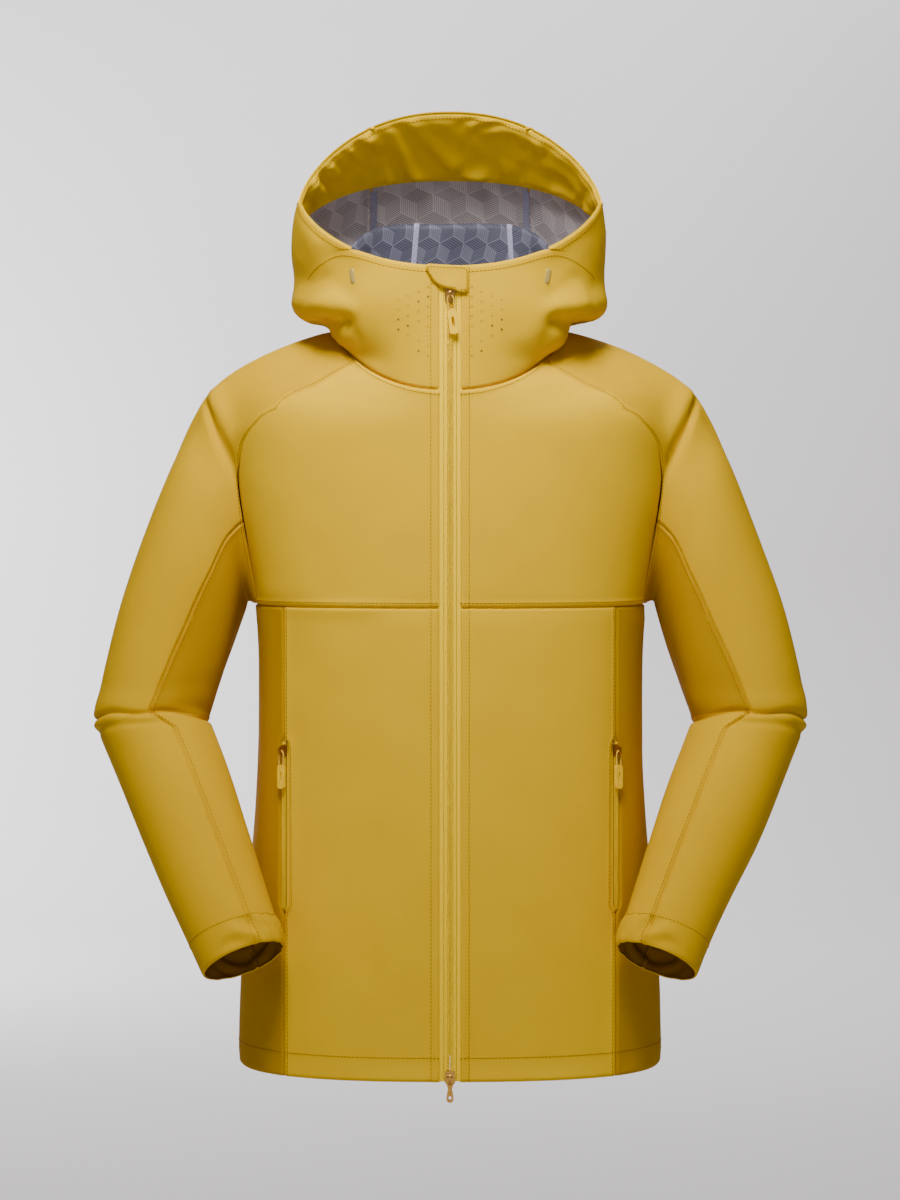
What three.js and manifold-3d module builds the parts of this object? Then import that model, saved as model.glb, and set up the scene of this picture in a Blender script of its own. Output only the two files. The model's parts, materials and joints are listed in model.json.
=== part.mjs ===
// Hooded hardshell jacket, filled out as if worn: trunk panels, raglan shoulders, bent sleeves,
// a tall collar that runs into a three-panel hood, and working zips.
// Millimetres, +Z up. The front faces -Y and +X is the wearer's left.
// The origin lies inside the neck, at the height where the shoulders meet the collar.
import * as THREE from 'three';
import * as BufferGeometryUtils from 'three/addons/utils/BufferGeometryUtils.js';
import Module from 'manifold-3d';

const wasm = await Module();
wasm.setup();

// Fabric layers and the air between them
const shellThickness = 1.5;
const liningThickness = 1.0;
const seamGap = 0.7;
const layerGap = 0.45;

// Trunk: half widths and heights
const zipPlane = 126;
const hemHalfWidth = 207;
const hemHeight = -702;
const lowHalfWidth = 203.5;
const lowHeight = -600;
const hipHalfWidth = 191;
const hipHeight = -450;
const waistHalfWidth = 187.5;
const waistHeight = -350;
const armpitHalfWidth = 190.5;
const yokeHeight = -253;
const chestHalfWidth = 212;
const chestHeight = -130;
const shoulderHalfWidth = 214;
const shoulderHeight = -27;
const neckHalfWidth = 108;
const neckFrontHeight = -48;
const trunkSquareness = 2.5;
const pocketSeamX = 159;
const sideSeamAngle = 88;

// Hood and collar
const hoodHalfWidth = 152;
const rimHalfWidth = 145;
const lipHeight = 68;
const rimTopHeight = 231;
const rimTopY = 22;
const hoodSquareness = 2.2;
const crownSeamAngle = 150;
const brimWidth = 0.24;

// Sleeves
const sleeveGap = 9;
const armholeGap = 2.5;
const elbowGap = 2;
const elbowDrop = 366;
const elbowHalfWidth = 56.5;
const elbowHalfDepth = 58;
const elbowTilt = 12.9;
const armholeHalfDepth = 56;
const cuffHalfWidth = 41;
const cuffHalfDepth = 38;
const cuffDrop = 585;
const cuffForward = 130;
const cuffBand = 0.11;

// Front zip
const zipOpening = 8.5;
const tapeHalfWidth = 12;
const tapeThickness = 0.9;
const tapeClearance = 0.35;
const coilHalfGap = 0.9;
const coilWidth = 2.5;
const coilThickness = 2.3;
const topSliderHeight = 40;
const bottomSliderRise = 5;

// Pocket zips
const pocketTop = -375;
const pocketLength = 170;
const pocketSlit = 5;
const pocketTapeHalfWidth = 8.5;

// Material makers
const paint = (color, roughness, metalness = 0) => () =>
  new THREE.MeshStandardMaterial({ color, roughness, metalness });
const materials = {
  shell: paint(0xc9a73a, 0.75),
  zip: paint(0xe3c43a, 0.6),
  lining: paint(0x8d8896, 0.8),
  bronze: paint(0x9a7434, 0.35, 0.9),
  puller: paint(0xe8c832, 0.45),
  trim: paint(0xb8962c, 0.7),
};

const jacket = new THREE.Group();
const radians = THREE.MathUtils.degToRad;
const lerp = THREE.MathUtils.lerp;
const smooth = (x) => THREE.MathUtils.smoothstep(x, 0, 1);
const spot = (x, y, z) => new THREE.Vector3(x, y, z);

// ---- solids from surfaces ----

function tidied(geometry) {
  geometry.deleteAttribute('normal');
  geometry.deleteAttribute('uv');
  return BufferGeometryUtils.mergeVertices(geometry, 1e-4);
}

function turnedInsideOut(geometry) {
  const index = geometry.getIndex();
  for (let i = 0; i < index.count; i += 3) {
    const second = index.getX(i + 1);
    index.setX(i + 1, index.getX(i + 2));
    index.setX(i + 2, second);
  }
  return geometry;
}

function mirrored(geometry) {
  return turnedInsideOut(geometry.clone().scale(-1, 1, 1));
}

// Six times the volume that a closed mesh holds, negative where its faces point inwards.
function signedVolume(geometry) {
  const index = geometry.getIndex();
  const at = geometry.getAttribute('position');
  const corner = [0, 1, 2].map(() => new THREE.Vector3());
  let total = 0;
  for (let i = 0; i < index.count; i += 3) {
    corner.forEach((point, k) => point.fromBufferAttribute(at, index.getX(i + k)));
    total += corner[0].dot(corner[1].clone().cross(corner[2]));
  }
  return total;
}

const facingOut = (geometry) => (signedVolume(geometry) < 0 ? turnedInsideOut(geometry) : geometry);

// The outward direction of a surface map(u, w), where u runs left to right and w upwards.
function outwards(map, u, w) {
  const step = 1e-3;
  const acrossFrom = map(Math.max(u - step, 0), w);
  const across = map(Math.min(u + step, 1), w).sub(acrossFrom);
  const upFrom = map(u, Math.max(w - step, 0));
  const up = map(u, Math.min(w + step, 1)).sub(upFrom);
  return across.cross(up).normalize();
}

// Cuts each four-cornered cell along its other diagonal, so that both faces of a twisted sheet
// are cut the same way and stay apart.
function splitOtherWay(index, from, to) {
  for (let i = from; i < to; i += 6) {
    const opposite = index.getX(i + 4);
    index.setX(i + 2, opposite);
    index.setX(i + 3, index.getX(i));
  }
}

// A sheet of even thickness whose outer face lies at depth `inset` under map(u, w).
function sheet(map, cells, rows, thickness = shellThickness, inset = 0) {
  const box = new THREE.BoxGeometry(1, 1, 1, cells, rows.length - 1, 1);
  const innerFace = box.groups[5];
  splitOtherWay(box.getIndex(), innerFace.start, innerFace.start + innerFace.count);
  const place = box.getAttribute('position');
  for (let i = 0; i < place.count; i += 1) {
    const u = place.getX(i) + 0.5;
    const w = rows[Math.round((place.getY(i) + 0.5) * (rows.length - 1))];
    const depth = inset + (place.getZ(i) > 0 ? 0 : thickness);
    const at = map(u, w).addScaledVector(outwards(map, u, w), -depth);
    place.setXYZ(i, at.x, at.y, at.z);
  }
  return tidied(box);
}

// A closed band: map(u, w) with u once around and w from edge to edge.
function band(map, cells, rows, thickness = shellThickness, inset = 0) {
  const across = rows.length;
  const torus = new THREE.TorusGeometry(1, 0.1, 2 * across, cells);
  const index = torus.getIndex();
  splitOtherWay(index, index.count / 2, index.count);
  const turns = torus.getAttribute('uv');
  const place = torus.getAttribute('position');
  for (let i = 0; i < place.count; i += 1) {
    const u = turns.getX(i) % 1;
    const corner = Math.round(turns.getY(i) * 2 * across) % (2 * across);
    const outer = corner < across;
    const w = rows[outer ? corner : 2 * across - 1 - corner];
    const depth = inset + (outer ? 0 : thickness);
    const at = map(u, w).addScaledVector(bandOutwards(map, u), -depth);
    place.setXYZ(i, at.x, at.y, at.z);
  }
  return facingOut(tidied(torus));
}

// The outward direction halfway across a band, used from edge to edge so that it stays of even thickness.
function bandOutwards(map, u) {
  const step = 1e-3;
  const across = map((u + step) % 1, 0.5).sub(map((u - step + 1) % 1, 0.5));
  const up = map(u, 1).sub(map(u, 0));
  return across.cross(up).normalize();
}

const evenly = (count) => Array.from({ length: count + 1 }, (_, i) => i / count);

// ---- rings: level outlines that the trunk and the hood pass through ----

// An outline with its own front, side and back points.
function ring(halfWidth, front, side, back, square) {
  return {
    halfWidth,
    frontY: front[0],
    frontZ: front[1],
    sideY: side[0],
    sideZ: side[1],
    backY: back[0],
    backZ: back[1],
    square,
  };
}

const levelRing = (halfWidth, height, backY) =>
  ring(halfWidth, [-zipPlane, height], [0, height], [backY, height], trunkSquareness);

const neckRing = (square) =>
  ring(neckHalfWidth, [-zipPlane, neckFrontHeight], [-6, 14], [92, 24], square);

const trunkRings = [
  levelRing(hemHalfWidth, hemHeight, 120),
  levelRing(lowHalfWidth, lowHeight, 118),
  levelRing(hipHalfWidth, hipHeight, 112),
  levelRing(waistHalfWidth, waistHeight, 110),
  levelRing(armpitHalfWidth, yokeHeight - seamGap, 113),
  levelRing(chestHalfWidth, chestHeight, 118),
  ring(shoulderHalfWidth, [-zipPlane, -86], [4, shoulderHeight], [112, -48], trunkSquareness),
  ring((shoulderHalfWidth + neckHalfWidth) / 2, [-zipPlane, -66], [0, -4], [103, -8], 2.35),
  neckRing(hoodSquareness),
];
const armpitRing = 4;
const chestRing = 5;
const neckLine = trunkRings.length - 1;

const hoodRings = [
  neckRing(hoodSquareness),
  ring(124, [-zipPlane, -25], [-4, 20], [106, 50], hoodSquareness),
  ring(144, [-zipPlane, 0], [-6, 42], [122, 84], hoodSquareness),
  ring(hoodHalfWidth, [-zipPlane, 24], [-14, 74], [128, 122], hoodSquareness),
  ring(hoodHalfWidth - 1, [-zipPlane, 46], [-34, 106], [92, 172], hoodSquareness),
  ring(rimHalfWidth, [-zipPlane, lipHeight], [-62, 136], [rimTopY, rimTopHeight], hoodSquareness),
];
const rimLine = hoodRings.length - 1;

// A smooth curve through the rings' sizes, at position v counted in rings.
function ringAt(rings, v) {
  const last = rings.length - 1;
  const i = THREE.MathUtils.clamp(Math.floor(v), 0, last - 1);
  const t = v - i;
  const mixed = {};
  for (const key of Object.keys(rings[0])) {
    const b = rings[i][key];
    const c = rings[i + 1][key];
    const a = rings[Math.max(i - 1, 0)][key];
    const d = rings[Math.min(i + 2, last)][key];
    const bend = (2 * a - 5 * b + 4 * c - d) * t * t + (3 * b - a - 3 * c + d) * t * t * t;
    mixed[key] = 0.5 * (2 * b + (c - a) * t + bend);
  }
  return mixed;
}

const riseSharpness = 1.3;

// A point on an outline: angle 0 is the front, 90 the wearer's left, 180 the back.
function ringPoint(outline, degrees) {
  const c = Math.cos(radians(degrees));
  const s = Math.sin(radians(degrees));
  const along = Math.abs(c) ** (2 / outline.square);
  const across = Math.sign(s) * Math.abs(s) ** (2 / outline.square);
  const endY = c > 0 ? outline.frontY : outline.backY;
  const endZ = c > 0 ? outline.frontZ : outline.backZ;
  return spot(
    outline.halfWidth * across,
    lerp(outline.sideY, endY, along),
    lerp(outline.sideZ, endZ, Math.abs(c) ** riseSharpness),
  );
}

const trunk = (degrees, v) => ringPoint(ringAt(trunkRings, v), degrees);
const hood = (degrees, v) => ringPoint(ringAt(hoodRings, v), degrees);

// The angle at which an outline stands x to the side.
function angleAtX(rings, v, x) {
  const outline = ringAt(rings, v);
  const sine = Math.min(x / outline.halfWidth, 1) ** (outline.square / 2);
  return THREE.MathUtils.radToDeg(Math.asin(sine));
}

// The place between the trunk's level rings that has a given height.
function trunkLevel(height) {
  let low = 0;
  let high = chestRing;
  for (let i = 0; i < 40; i += 1) {
    const middle = (low + high) / 2;
    if (ringAt(trunkRings, middle).frontZ < height) low = middle;
    else high = middle;
  }
  return (low + high) / 2;
}

// How many degrees a length along an outline takes up.
const degreesOf = (length, v) => THREE.MathUtils.radToDeg(length / ringAt(trunkRings, v).halfWidth);

// ---- trunk ----

const yokeLevel = trunkLevel(yokeHeight);
const yokeTop = trunkLevel(yokeHeight + seamGap / 2);
const yokeBottom = trunkLevel(yokeHeight - seamGap / 2);

// Levels at which the raglan seam is drawn, so that the panels on both sides share its corners.
const raglanLevels = [yokeTop, 4.5, 5, 5.3, 5.6, 6, 6.5, 7, 7.5, 8];
const raglanRows = raglanLevels.map((v) => (v - yokeTop) / (neckLine - yokeTop));

// The raglan seam's angle, from the armpit up to the neck.
const raglanStops = [
  [yokeLevel, 78],
  [4.5, 75.5],
  [5, 73],
  [5.3, 66],
  [5.6, 55],
  [6, 45],
  [7, 48],
  [8, 53],
];

function raglan(v) {
  let at = raglanStops[raglanStops.length - 1][1];
  for (let i = raglanStops.length - 2; i >= 0; i -= 1) {
    const [from, angle] = raglanStops[i];
    const [to, next] = raglanStops[i + 1];
    if (v <= to) at = lerp(angle, next, THREE.MathUtils.clamp((v - from) / (to - from), 0, 1));
  }
  return at;
}

// A panel of the trunk between two angle curves and two levels.
function trunkPanel(fromAngle, toAngle, fromLevel, toLevel) {
  return (u, w) => {
    const v = lerp(fromLevel, toLevel, w);
    return trunk(lerp(fromAngle(v), toAngle(v), u), v);
  };
}

const zipEdge = (rings) => (v) => angleAtX(rings, v, zipOpening);
const pocketBottom = pocketTop - pocketLength;
const pocketLevels = [pocketBottom - 8, pocketBottom - 2, pocketTop + 2, pocketTop + 8].map(trunkLevel);

// How far the panels draw back from the pocket seam to leave room for the zip.
function pocketDraw(v) {
  const [below, start, end, above] = pocketLevels;
  const open = Math.min((v - below) / (start - below), (above - v) / (above - end));
  return lerp(seamGap / 2, pocketSlit, smooth(open));
}

const pocketSeam = (side) => (v) =>
  angleAtX(trunkRings, v, pocketSeamX) + side * degreesOf(pocketDraw(v), v) * 1.6;

const lowerRows = (() => {
  const rows = [...evenly(9), ...pocketLevels.map((v) => v / yokeBottom)];
  return [...new Set(rows)].sort((a, b) => a - b);
})();

function trunkParts() {
  const raglanEdge = (v) => raglan(v) - degreesOf(seamGap, v);
  addPair('front_yoke', sheet(trunkPanel(zipEdge(trunkRings), raglanEdge, yokeTop, neckLine), 7, raglanRows));
  addPair('front_lower', sheet(trunkPanel(zipEdge(trunkRings), pocketSeam(-1), 0, yokeBottom), 8, lowerRows));
  const sideSeam = (v) => sideSeamAngle - degreesOf(seamGap / 2, v);
  addPair('side_front', sheet(trunkPanel(pocketSeam(1), sideSeam, 0, yokeBottom), 4, lowerRows));
  const backEdge = (v) => sideSeamAngle + degreesOf(seamGap / 2, v);
  const lowerBack = trunkPanel(backEdge, (v) => 360 - backEdge(v), 0, yokeBottom);
  add('back_lower', sheet(lowerBack, 18, evenly(9)));
  const yokeBack = trunkPanel((v) => 180 - raglanEdge(v), (v) => 180 + raglanEdge(v), yokeTop, neckLine);
  add('back_yoke', sheet(yokeBack, 12, raglanRows));
}

// ---- sleeves, drawn on the wearer's left ----

// The sleeve's outer and inner outlines seen from the front, as [x, z].
const armholeInnerX = armpitHalfWidth + sleeveGap;
const elbowX = waistHalfWidth + sleeveGap * 5.4 + elbowHalfWidth;
const outerLine = [
  [shoulderHalfWidth + 2, shoulderHeight - 1],
  [shoulderHalfWidth + 29, shoulderHeight - 28],
  [shoulderHalfWidth + 66, shoulderHeight - 108],
  [shoulderHalfWidth + 107, shoulderHeight - 222],
  [elbowX + elbowHalfWidth, -elbowDrop],
];
const innerLine = [
  [armholeInnerX, yokeHeight + 3],
  [armholeInnerX + 2, yokeHeight - 4],
  [armholeInnerX + 6, yokeHeight - 18],
  [armholeInnerX + 16, yokeHeight - 52],
  [elbowX - elbowHalfWidth, -elbowDrop],
];
const outerCurve = new THREE.CatmullRomCurve3(outerLine.map(([x, z]) => spot(x, 0, z)));
const innerCurve = new THREE.CatmullRomCurve3(innerLine.map(([x, z]) => spot(x, 0, z)));
const armholeY = 8;
const elbowY = -14;

// The upper sleeve: u once around from the outer side by the front, t from armhole to elbow.
function upperSleeve(u, t) {
  const outer = outerCurve.getPoint(t);
  const inner = innerCurve.getPoint(t);
  const middle = outer.clone().add(inner).multiplyScalar(0.5);
  const turn = u * 2 * Math.PI;
  const tilt = radians(elbowTilt) * smooth(t);
  const depth = lerp(armholeHalfDepth, elbowHalfDepth, t) * Math.sin(turn);
  return middle
    .addScaledVector(outer.sub(inner), Math.cos(turn) / 2)
    .add(spot(0, lerp(armholeY, elbowY, t) - depth * Math.cos(tilt), depth * Math.sin(tilt)));
}

const elbow = spot(elbowX, elbowY, -elbowDrop);
const cuff = spot(hemHalfWidth - 12, -cuffForward, -cuffDrop);
const forearmAim = cuff.clone().sub(elbow).normalize();
const cuffOut = spot(1, 0, 0).addScaledVector(forearmAim, -forearmAim.x).normalize();
const cuffBack = forearmAim.clone().cross(cuffOut).negate();
const elbowOut = spot(1, 0, 0);
const elbowBack = spot(0, Math.cos(radians(elbowTilt)), -Math.sin(radians(elbowTilt)));

// The forearm: u once around from the outer side by the front, t from elbow to cuff.
function forearm(u, t) {
  const turn = u * 2 * Math.PI;
  const out = elbowOut.clone().lerp(cuffOut, t).normalize();
  const back = elbowBack.clone().lerp(cuffBack, t).normalize();
  const taper = t ** 1.2;
  return elbow
    .clone()
    .lerp(cuff, t)
    .addScaledVector(forearmAim, elbowGap * (1 - t))
    .addScaledVector(out, lerp(elbowHalfWidth, cuffHalfWidth, taper) * Math.cos(turn))
    .addScaledVector(back, -lerp(elbowHalfDepth, cuffHalfDepth, taper) * Math.sin(turn));
}

// A strip of a tube between two seams, given as shares of a turn, w running up the arm.
const tubeStrip = (tube, fromTurn, toTurn, fromT, toT) => (u, w) => {
  const t = lerp(toT, fromT, w);
  return tube((lerp(fromTurn(t), toTurn(t), 1 - u) + 1) % 1, t);
};

const seamShare = seamGap / (2 * Math.PI * elbowHalfWidth);
const frontSeamTurn = 0.31;
const frontSeamTopTurn = 0.26;
const upperFrontSeam = (t) => lerp(frontSeamTurn, frontSeamTopTurn, t ** 2);
const upperBackSeam = (t) => lerp(-0.4, -0.3, t);
const lowerFrontSeam = () => frontSeamTurn;
const lowerBackSeam = () => -0.3;

function sleeveParts() {
  const outside = (front, back) => [(t) => back(t) + seamShare, (t) => front(t) - seamShare];
  const under = (front, back) => [(t) => front(t) + seamShare, (t) => back(t) + 1 - seamShare];
  const pieces = [
    ['sleeve_outer', upperSleeve, outside(upperFrontSeam, upperBackSeam), 0, 1, 10, 8],
    ['sleeve_under', upperSleeve, under(upperFrontSeam, upperBackSeam), 0, 1, 6, 8],
    ['forearm_outer', forearm, outside(lowerFrontSeam, lowerBackSeam), 0, 1 - cuffBand, 10, 5],
    ['forearm_under', forearm, under(lowerFrontSeam, lowerBackSeam), 0, 1 - cuffBand, 6, 5],
  ];
  for (const [name, tube, [from, to], fromT, toT, cells, rows] of pieces) {
    addPair(name, sheet(tubeStrip(tube, from, to, fromT, toT), cells, evenly(rows)));
  }
  const forearmLength = cuff.distanceTo(elbow);
  const cuffStart = 1 - cuffBand + seamGap / forearmLength;
  const cuffRing = (u, w) => forearm((1 - u) % 1, lerp(1, cuffStart, w));
  addPair('cuff', band(cuffRing, 24, [0, 1]));
  const elastic = tubeStrip(forearm, () => 0.34, () => 0.7, cuffStart + 0.02, 0.98);
  addPair('cuff_elastic', sheet(elastic, 8, [0, 1], liningThickness, shellThickness + layerGap));
}

// Cells of the shoulder piece along half of its edge: by the neck, down the raglan seam, at the armpit.
const neckCells = 3;
const raglanCells = raglanLevels.length - 1;
const armpitCells = 2;
const armholeCells = neckCells + raglanCells + armpitCells;
const neckEnd = neckCells / armholeCells;
const armpitStart = 1 - armpitCells / armholeCells;
const neckDraw = 0.06;

// How far round the armhole each level of the raglan seam is met, in degrees from the top.
const raglanTurns = [152, 118, 90, 74, 62, 50, 42, 35, 28, 21];

// A value from an evenly spaced list, at a share of its length.
function between(list, share) {
  const place = share * (list.length - 1);
  const below = Math.min(Math.floor(place + 1e-9), list.length - 2);
  return lerp(list[below], list[below + 1], place - below);
}

function armholeTurn(u) {
  const half = u <= 0.5 ? u * 2 : (1 - u) * 2;
  const down = THREE.MathUtils.clamp((half - neckEnd) / (armpitStart - neckEnd), 0, 1);
  let turn = between(raglanTurns, 1 - down);
  if (half < neckEnd) turn *= half / neckEnd;
  if (half > armpitStart) turn = lerp(turn, 180, (half - armpitStart) / (1 - armpitStart));
  return (u <= 0.5 ? turn : 360 - turn) / 360;
}

// The line on the trunk that the shoulder piece is sewn to, once around from the neck by the front.
function armholeSeam(u) {
  const half = u <= 0.5 ? u * 2 : (1 - u) * 2;
  const down = THREE.MathUtils.clamp((half - neckEnd) / (armpitStart - neckEnd), 0, 1);
  const v = Math.min(between(raglanLevels, 1 - down), neckLine - neckDraw);
  let angle = raglan(v) + degreesOf(2 * seamGap, v);
  if (half < neckEnd) angle = lerp(90, angle, half / neckEnd);
  if (half > armpitStart) angle = lerp(angle, 90, (half - armpitStart) / (1 - armpitStart));
  return trunk(u <= 0.5 ? angle : 180 - angle, v);
}

// The raglan top of the sleeve, from the trunk's seam out to the armhole plane.
function shoulder(u, w) {
  const sewn = armholeSeam(u);
  const free = upperSleeve(armholeTurn(u), 0);
  free.x -= armholeGap;
  const lift = 3 * Math.sin(Math.PI * w) * Math.max(Math.cos(u * 2 * Math.PI), 0);
  return free.lerp(sewn, w).add(spot(0, 0, lift));
}

function shoulderParts() {
  addPair('shoulder_cap', band((u, w) => shoulder((1 - u) % 1, w), 2 * armholeCells, [0, 0.5, 1]));
}

// ---- collar and hood ----

// The line where the tilting crown leaves the collar, in hood rings.
const crownLine = (degrees) => lerp(rimLine, 1.3, smooth((Math.min(degrees, 360 - degrees) - 30) / 70));

function hoodPanel(fromAngle, toAngle, fromV, toV) {
  return (u, w) => {
    const angle = lerp(fromAngle(0), toAngle(0), u);
    return hood(angle, lerp(fromV(angle), toV(angle), w));
  };
}

function collarParts() {
  const frontEnd = 60;
  const low = 0.06;
  const top = (angle) => crownLine(angle) - 0.03;
  const front = (u, w) => {
    const rough = lerp(zipEdge(hoodRings)(0), frontEnd, u);
    const v = lerp(low, top(rough), w);
    return hood(lerp(zipEdge(hoodRings)(v), frontEnd - 0.6, u), v);
  };
  addPair('collar_front', sheet(front, 6, evenly(6)));
  const around = hoodPanel(() => frontEnd + 0.6, () => 359.4 - frontEnd, () => low, top);
  add('collar_back', sheet(around, 28, evenly(6)));

  // The stand of lining fabric that rises inside the hood behind the neck.
  const standAngle = 62;
  const stand = (u, w) => {
    const share = 1 - 2 * u;
    const base = hood(180 - share * standAngle, 0.3);
    base.y -= 9;
    base.x *= 0.9;
    const top = spot(96 * share, 78 - 36 * share ** 4, 120 - 26 * share ** 4);
    return base.lerp(top, w);
  };
  add('neck_stand', sheet(stand, 10, evenly(4), liningThickness), 'lining');

  const label = trunkPanel(() => 169, () => 191, 7.1, 7.6);
  add('neck_label', sheet(label, 4, [0, 1], 0.6, shellThickness + 2 * layerGap), 'lining');
  add('hang_loop', strapLoop(34, 9, 1.1, 2.6).translate(0, 70, 8), 'trim');
}

// A flat strap sewn into a ring, standing in the XZ plane.
function strapLoop(width, height, thickness, depth) {
  const loop = new THREE.TorusGeometry(height / 2, thickness / 2, 6, 16);
  const place = loop.getAttribute('position');
  for (let i = 0; i < place.count; i += 1) {
    const x = place.getX(i);
    place.setX(i, x + Math.sign(Math.round(x * 1000)) * (width - height) / 2);
    place.setZ(i, place.getZ(i) * (depth / thickness));
  }
  return tidied(loop.rotateX(Math.PI / 2));
}

function hoodParts() {
  const rim = () => rimLine;
  const start = (angle) => crownLine(angle) + 0.03;
  const side = hoodPanel(() => 38, () => crownSeamAngle - 0.2, start, rim);
  addPair('hood_side', sheet(side, 14, evenly(7)));
  const center = hoodPanel(() => crownSeamAngle + 0.2, () => 359.8 - crownSeamAngle, start, rim);
  add('hood_center', sheet(center, 6, evenly(9)));

  const stiffenerInset = shellThickness + layerGap;
  const stiffener = hoodPanel(() => 110, () => 250, () => rimLine * 0.92, () => rimLine * 0.985);
  add('brim_stiffener', sheet(stiffener, 14, [0, 1], liningThickness, stiffenerInset), 'trim');
  const facingInset = stiffenerInset + liningThickness + layerGap;
  const facing = hoodPanel(() => 92, () => 268, () => rimLine * (1 - brimWidth), () => rimLine * 0.995);
  add('brim_facing', sheet(facing, 18, evenly(3), liningThickness, facingInset));
}

// ---- hem ----

const hemDepth = 23;
const hemCordRadius = 1.2;

function hemParts() {
  const facingTop = trunkLevel(hemHeight + hemDepth);
  const edge = (v) => angleAtX(trunkRings, v, tapeHalfWidth + 6);
  const strip = trunkPanel(edge, (v) => 360 - edge(v), 0.02, facingTop);
  const cordDepth = shellThickness + 2 * layerGap + hemCordRadius;
  const facingInset = cordDepth + hemCordRadius + 2 * layerGap;
  add('hem_facing', sheet(strip, 28, [0, 1], liningThickness, facingInset));

  const middle = facingTop / 2;
  const start = edge(middle) + 2;
  const map = (u) => trunkPanel(() => start, () => 360 - start, middle, middle * 1.1)(u, 0);
  const path = [];
  const stretches = 52;
  for (let i = 0; i <= stretches; i += 1) {
    const u = i / stretches;
    const inward = outwards((a, b) => trunk(lerp(start, 360 - start, a), middle + b * 0.1), u, 0);
    path.push(map(u).addScaledVector(inward, -cordDepth));
  }
  add('hem_cord', cord(path, hemCordRadius, 52), 'trim');
}

// A round cord through given points, with flat ends.
function cord(points, radius, steps, sides = 8) {
  const circle = new THREE.Shape();
  for (let i = 0; i < sides; i += 1) {
    const turn = (i / sides) * 2 * Math.PI;
    circle[i ? 'lineTo' : 'moveTo'](radius * Math.cos(turn), radius * Math.sin(turn));
  }
  const extrudePath = new THREE.CatmullRomCurve3(points, false, 'centripetal');
  return tidied(new THREE.ExtrudeGeometry(circle, { steps, extrudePath, bevelEnabled: false }));
}

// ---- zips ----

function box(fromX, toX, fromY, toY, fromZ, toZ) {
  const solid = new THREE.BoxGeometry(toX - fromX, toY - fromY, toZ - fromZ);
  solid.translate((fromX + toX) / 2, (fromY + toY) / 2, (fromZ + toZ) / 2);
  return tidied(solid);
}

// A flat shape drawn in X and Z, its front at y and its back at y + depth.
function flatPlate(shape, depth, y) {
  const solid = new THREE.ExtrudeGeometry(shape, { depth, bevelEnabled: false, curveSegments: 3 });
  return tidied(solid.rotateX(Math.PI / 2).translate(0, y + depth, 0));
}

function roundedShape(width, height, radius) {
  const shape = new THREE.Shape();
  const x = width / 2 - radius;
  const z = height / 2 - radius;
  shape.absarc(x, z, radius, 0, Math.PI / 2);
  shape.absarc(-x, z, radius, Math.PI / 2, Math.PI);
  shape.absarc(-x, -z, radius, Math.PI, Math.PI * 1.5);
  shape.absarc(x, -z, radius, Math.PI * 1.5, Math.PI * 2);
  return shape;
}

function toManifold(geometry) {
  const merged = tidied(geometry.clone());
  return new wasm.Manifold(new wasm.Mesh({
    numProp: 3,
    vertProperties: Float32Array.from(merged.getAttribute('position').array),
    triVerts: Uint32Array.from(merged.getIndex().array),
  }));
}

function joined(solids) {
  const whole = solids.map(toManifold).reduce((a, b) => a.add(b));
  const mesh = whole.getMesh();
  const geometry = new THREE.BufferGeometry();
  geometry.setAttribute('position', new THREE.BufferAttribute(mesh.vertProperties, 3));
  geometry.setIndex(new THREE.BufferAttribute(mesh.triVerts, 1));
  return geometry;
}

// Depths through a zip, from the coil's front face at 0; -Y is outwards.
const zipPlay = 0.4;
const coilBack = coilThickness;
const coilToTape = 0.3;
const coilProud = 0.4;
const tapeFront = Math.max(coilBack + coilToTape, coilProud + shellThickness + 2 * tapeClearance);
const tapeBack = tapeFront + tapeThickness;
const sliderPlate = 1.1;
const sliderFront = -zipPlay - sliderPlate;
const sliderBack = tapeBack + zipPlay;
const bridgeHeight = 5;
const bridgeWidth = 1.6;
const pivotDepth = sliderFront - 2.7;

// A zip slider: two plates, the post between the two rows of coil, and the bridge on top.
function sliderSolid(width, length) {
  const bridge = roundedShape(bridgeHeight + 2, length - 4, 2);
  const hole = roundedShape(2.8, length - 7, 1.2);
  bridge.holes.push(new THREE.Path(hole.getPoints(3)));
  const arch = new THREE.ExtrudeGeometry(bridge, {
    depth: bridgeWidth,
    bevelEnabled: false,
    curveSegments: 3,
  });
  arch.translate(0, 0, -bridgeWidth / 2);
  const basis = new THREE.Matrix4().makeBasis(spot(0, -1, 0), spot(0, 0, 1), spot(-1, 0, 0));
  arch.applyMatrix4(basis.setPosition(0, pivotDepth, 0));
  const postHalf = coilHalfGap - zipPlay;
  const post = box(-postHalf, postHalf, sliderFront + 0.4, sliderBack + 0.4, 0.5, length / 2 - 1);
  return joined([
    flatPlate(roundedShape(width, length, 2.2), sliderPlate, sliderFront),
    flatPlate(roundedShape(width, length, 2.2), sliderPlate, sliderBack),
    post,
    arch,
  ]);
}

const pullCordRadius = 0.8;
const pullCordHalf = 2.8;
const loopShare = 0.45;
const loopDrop = 0.35;
const pullCordDrop = 13;
const pullTabLength = 23;

// The looped cord that runs through the slider's bridge, hanging from the pivot at its origin.
function pullCord() {
  const points = [];
  for (const side of [-1, 1]) {
    const leg = [pullCordDrop, pullCordDrop * 0.7, pullCordHalf].map((drop) =>
      spot(side * pullCordHalf, 0, -drop),
    );
    leg.push(spot(side * pullCordHalf * loopShare, 0, -loopDrop));
    points.push(...(side < 0 ? leg : leg.reverse()));
    if (side < 0) points.push(spot(0, 0, 0));
  }
  return cord(points, pullCordRadius, 16, 6);
}

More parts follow.
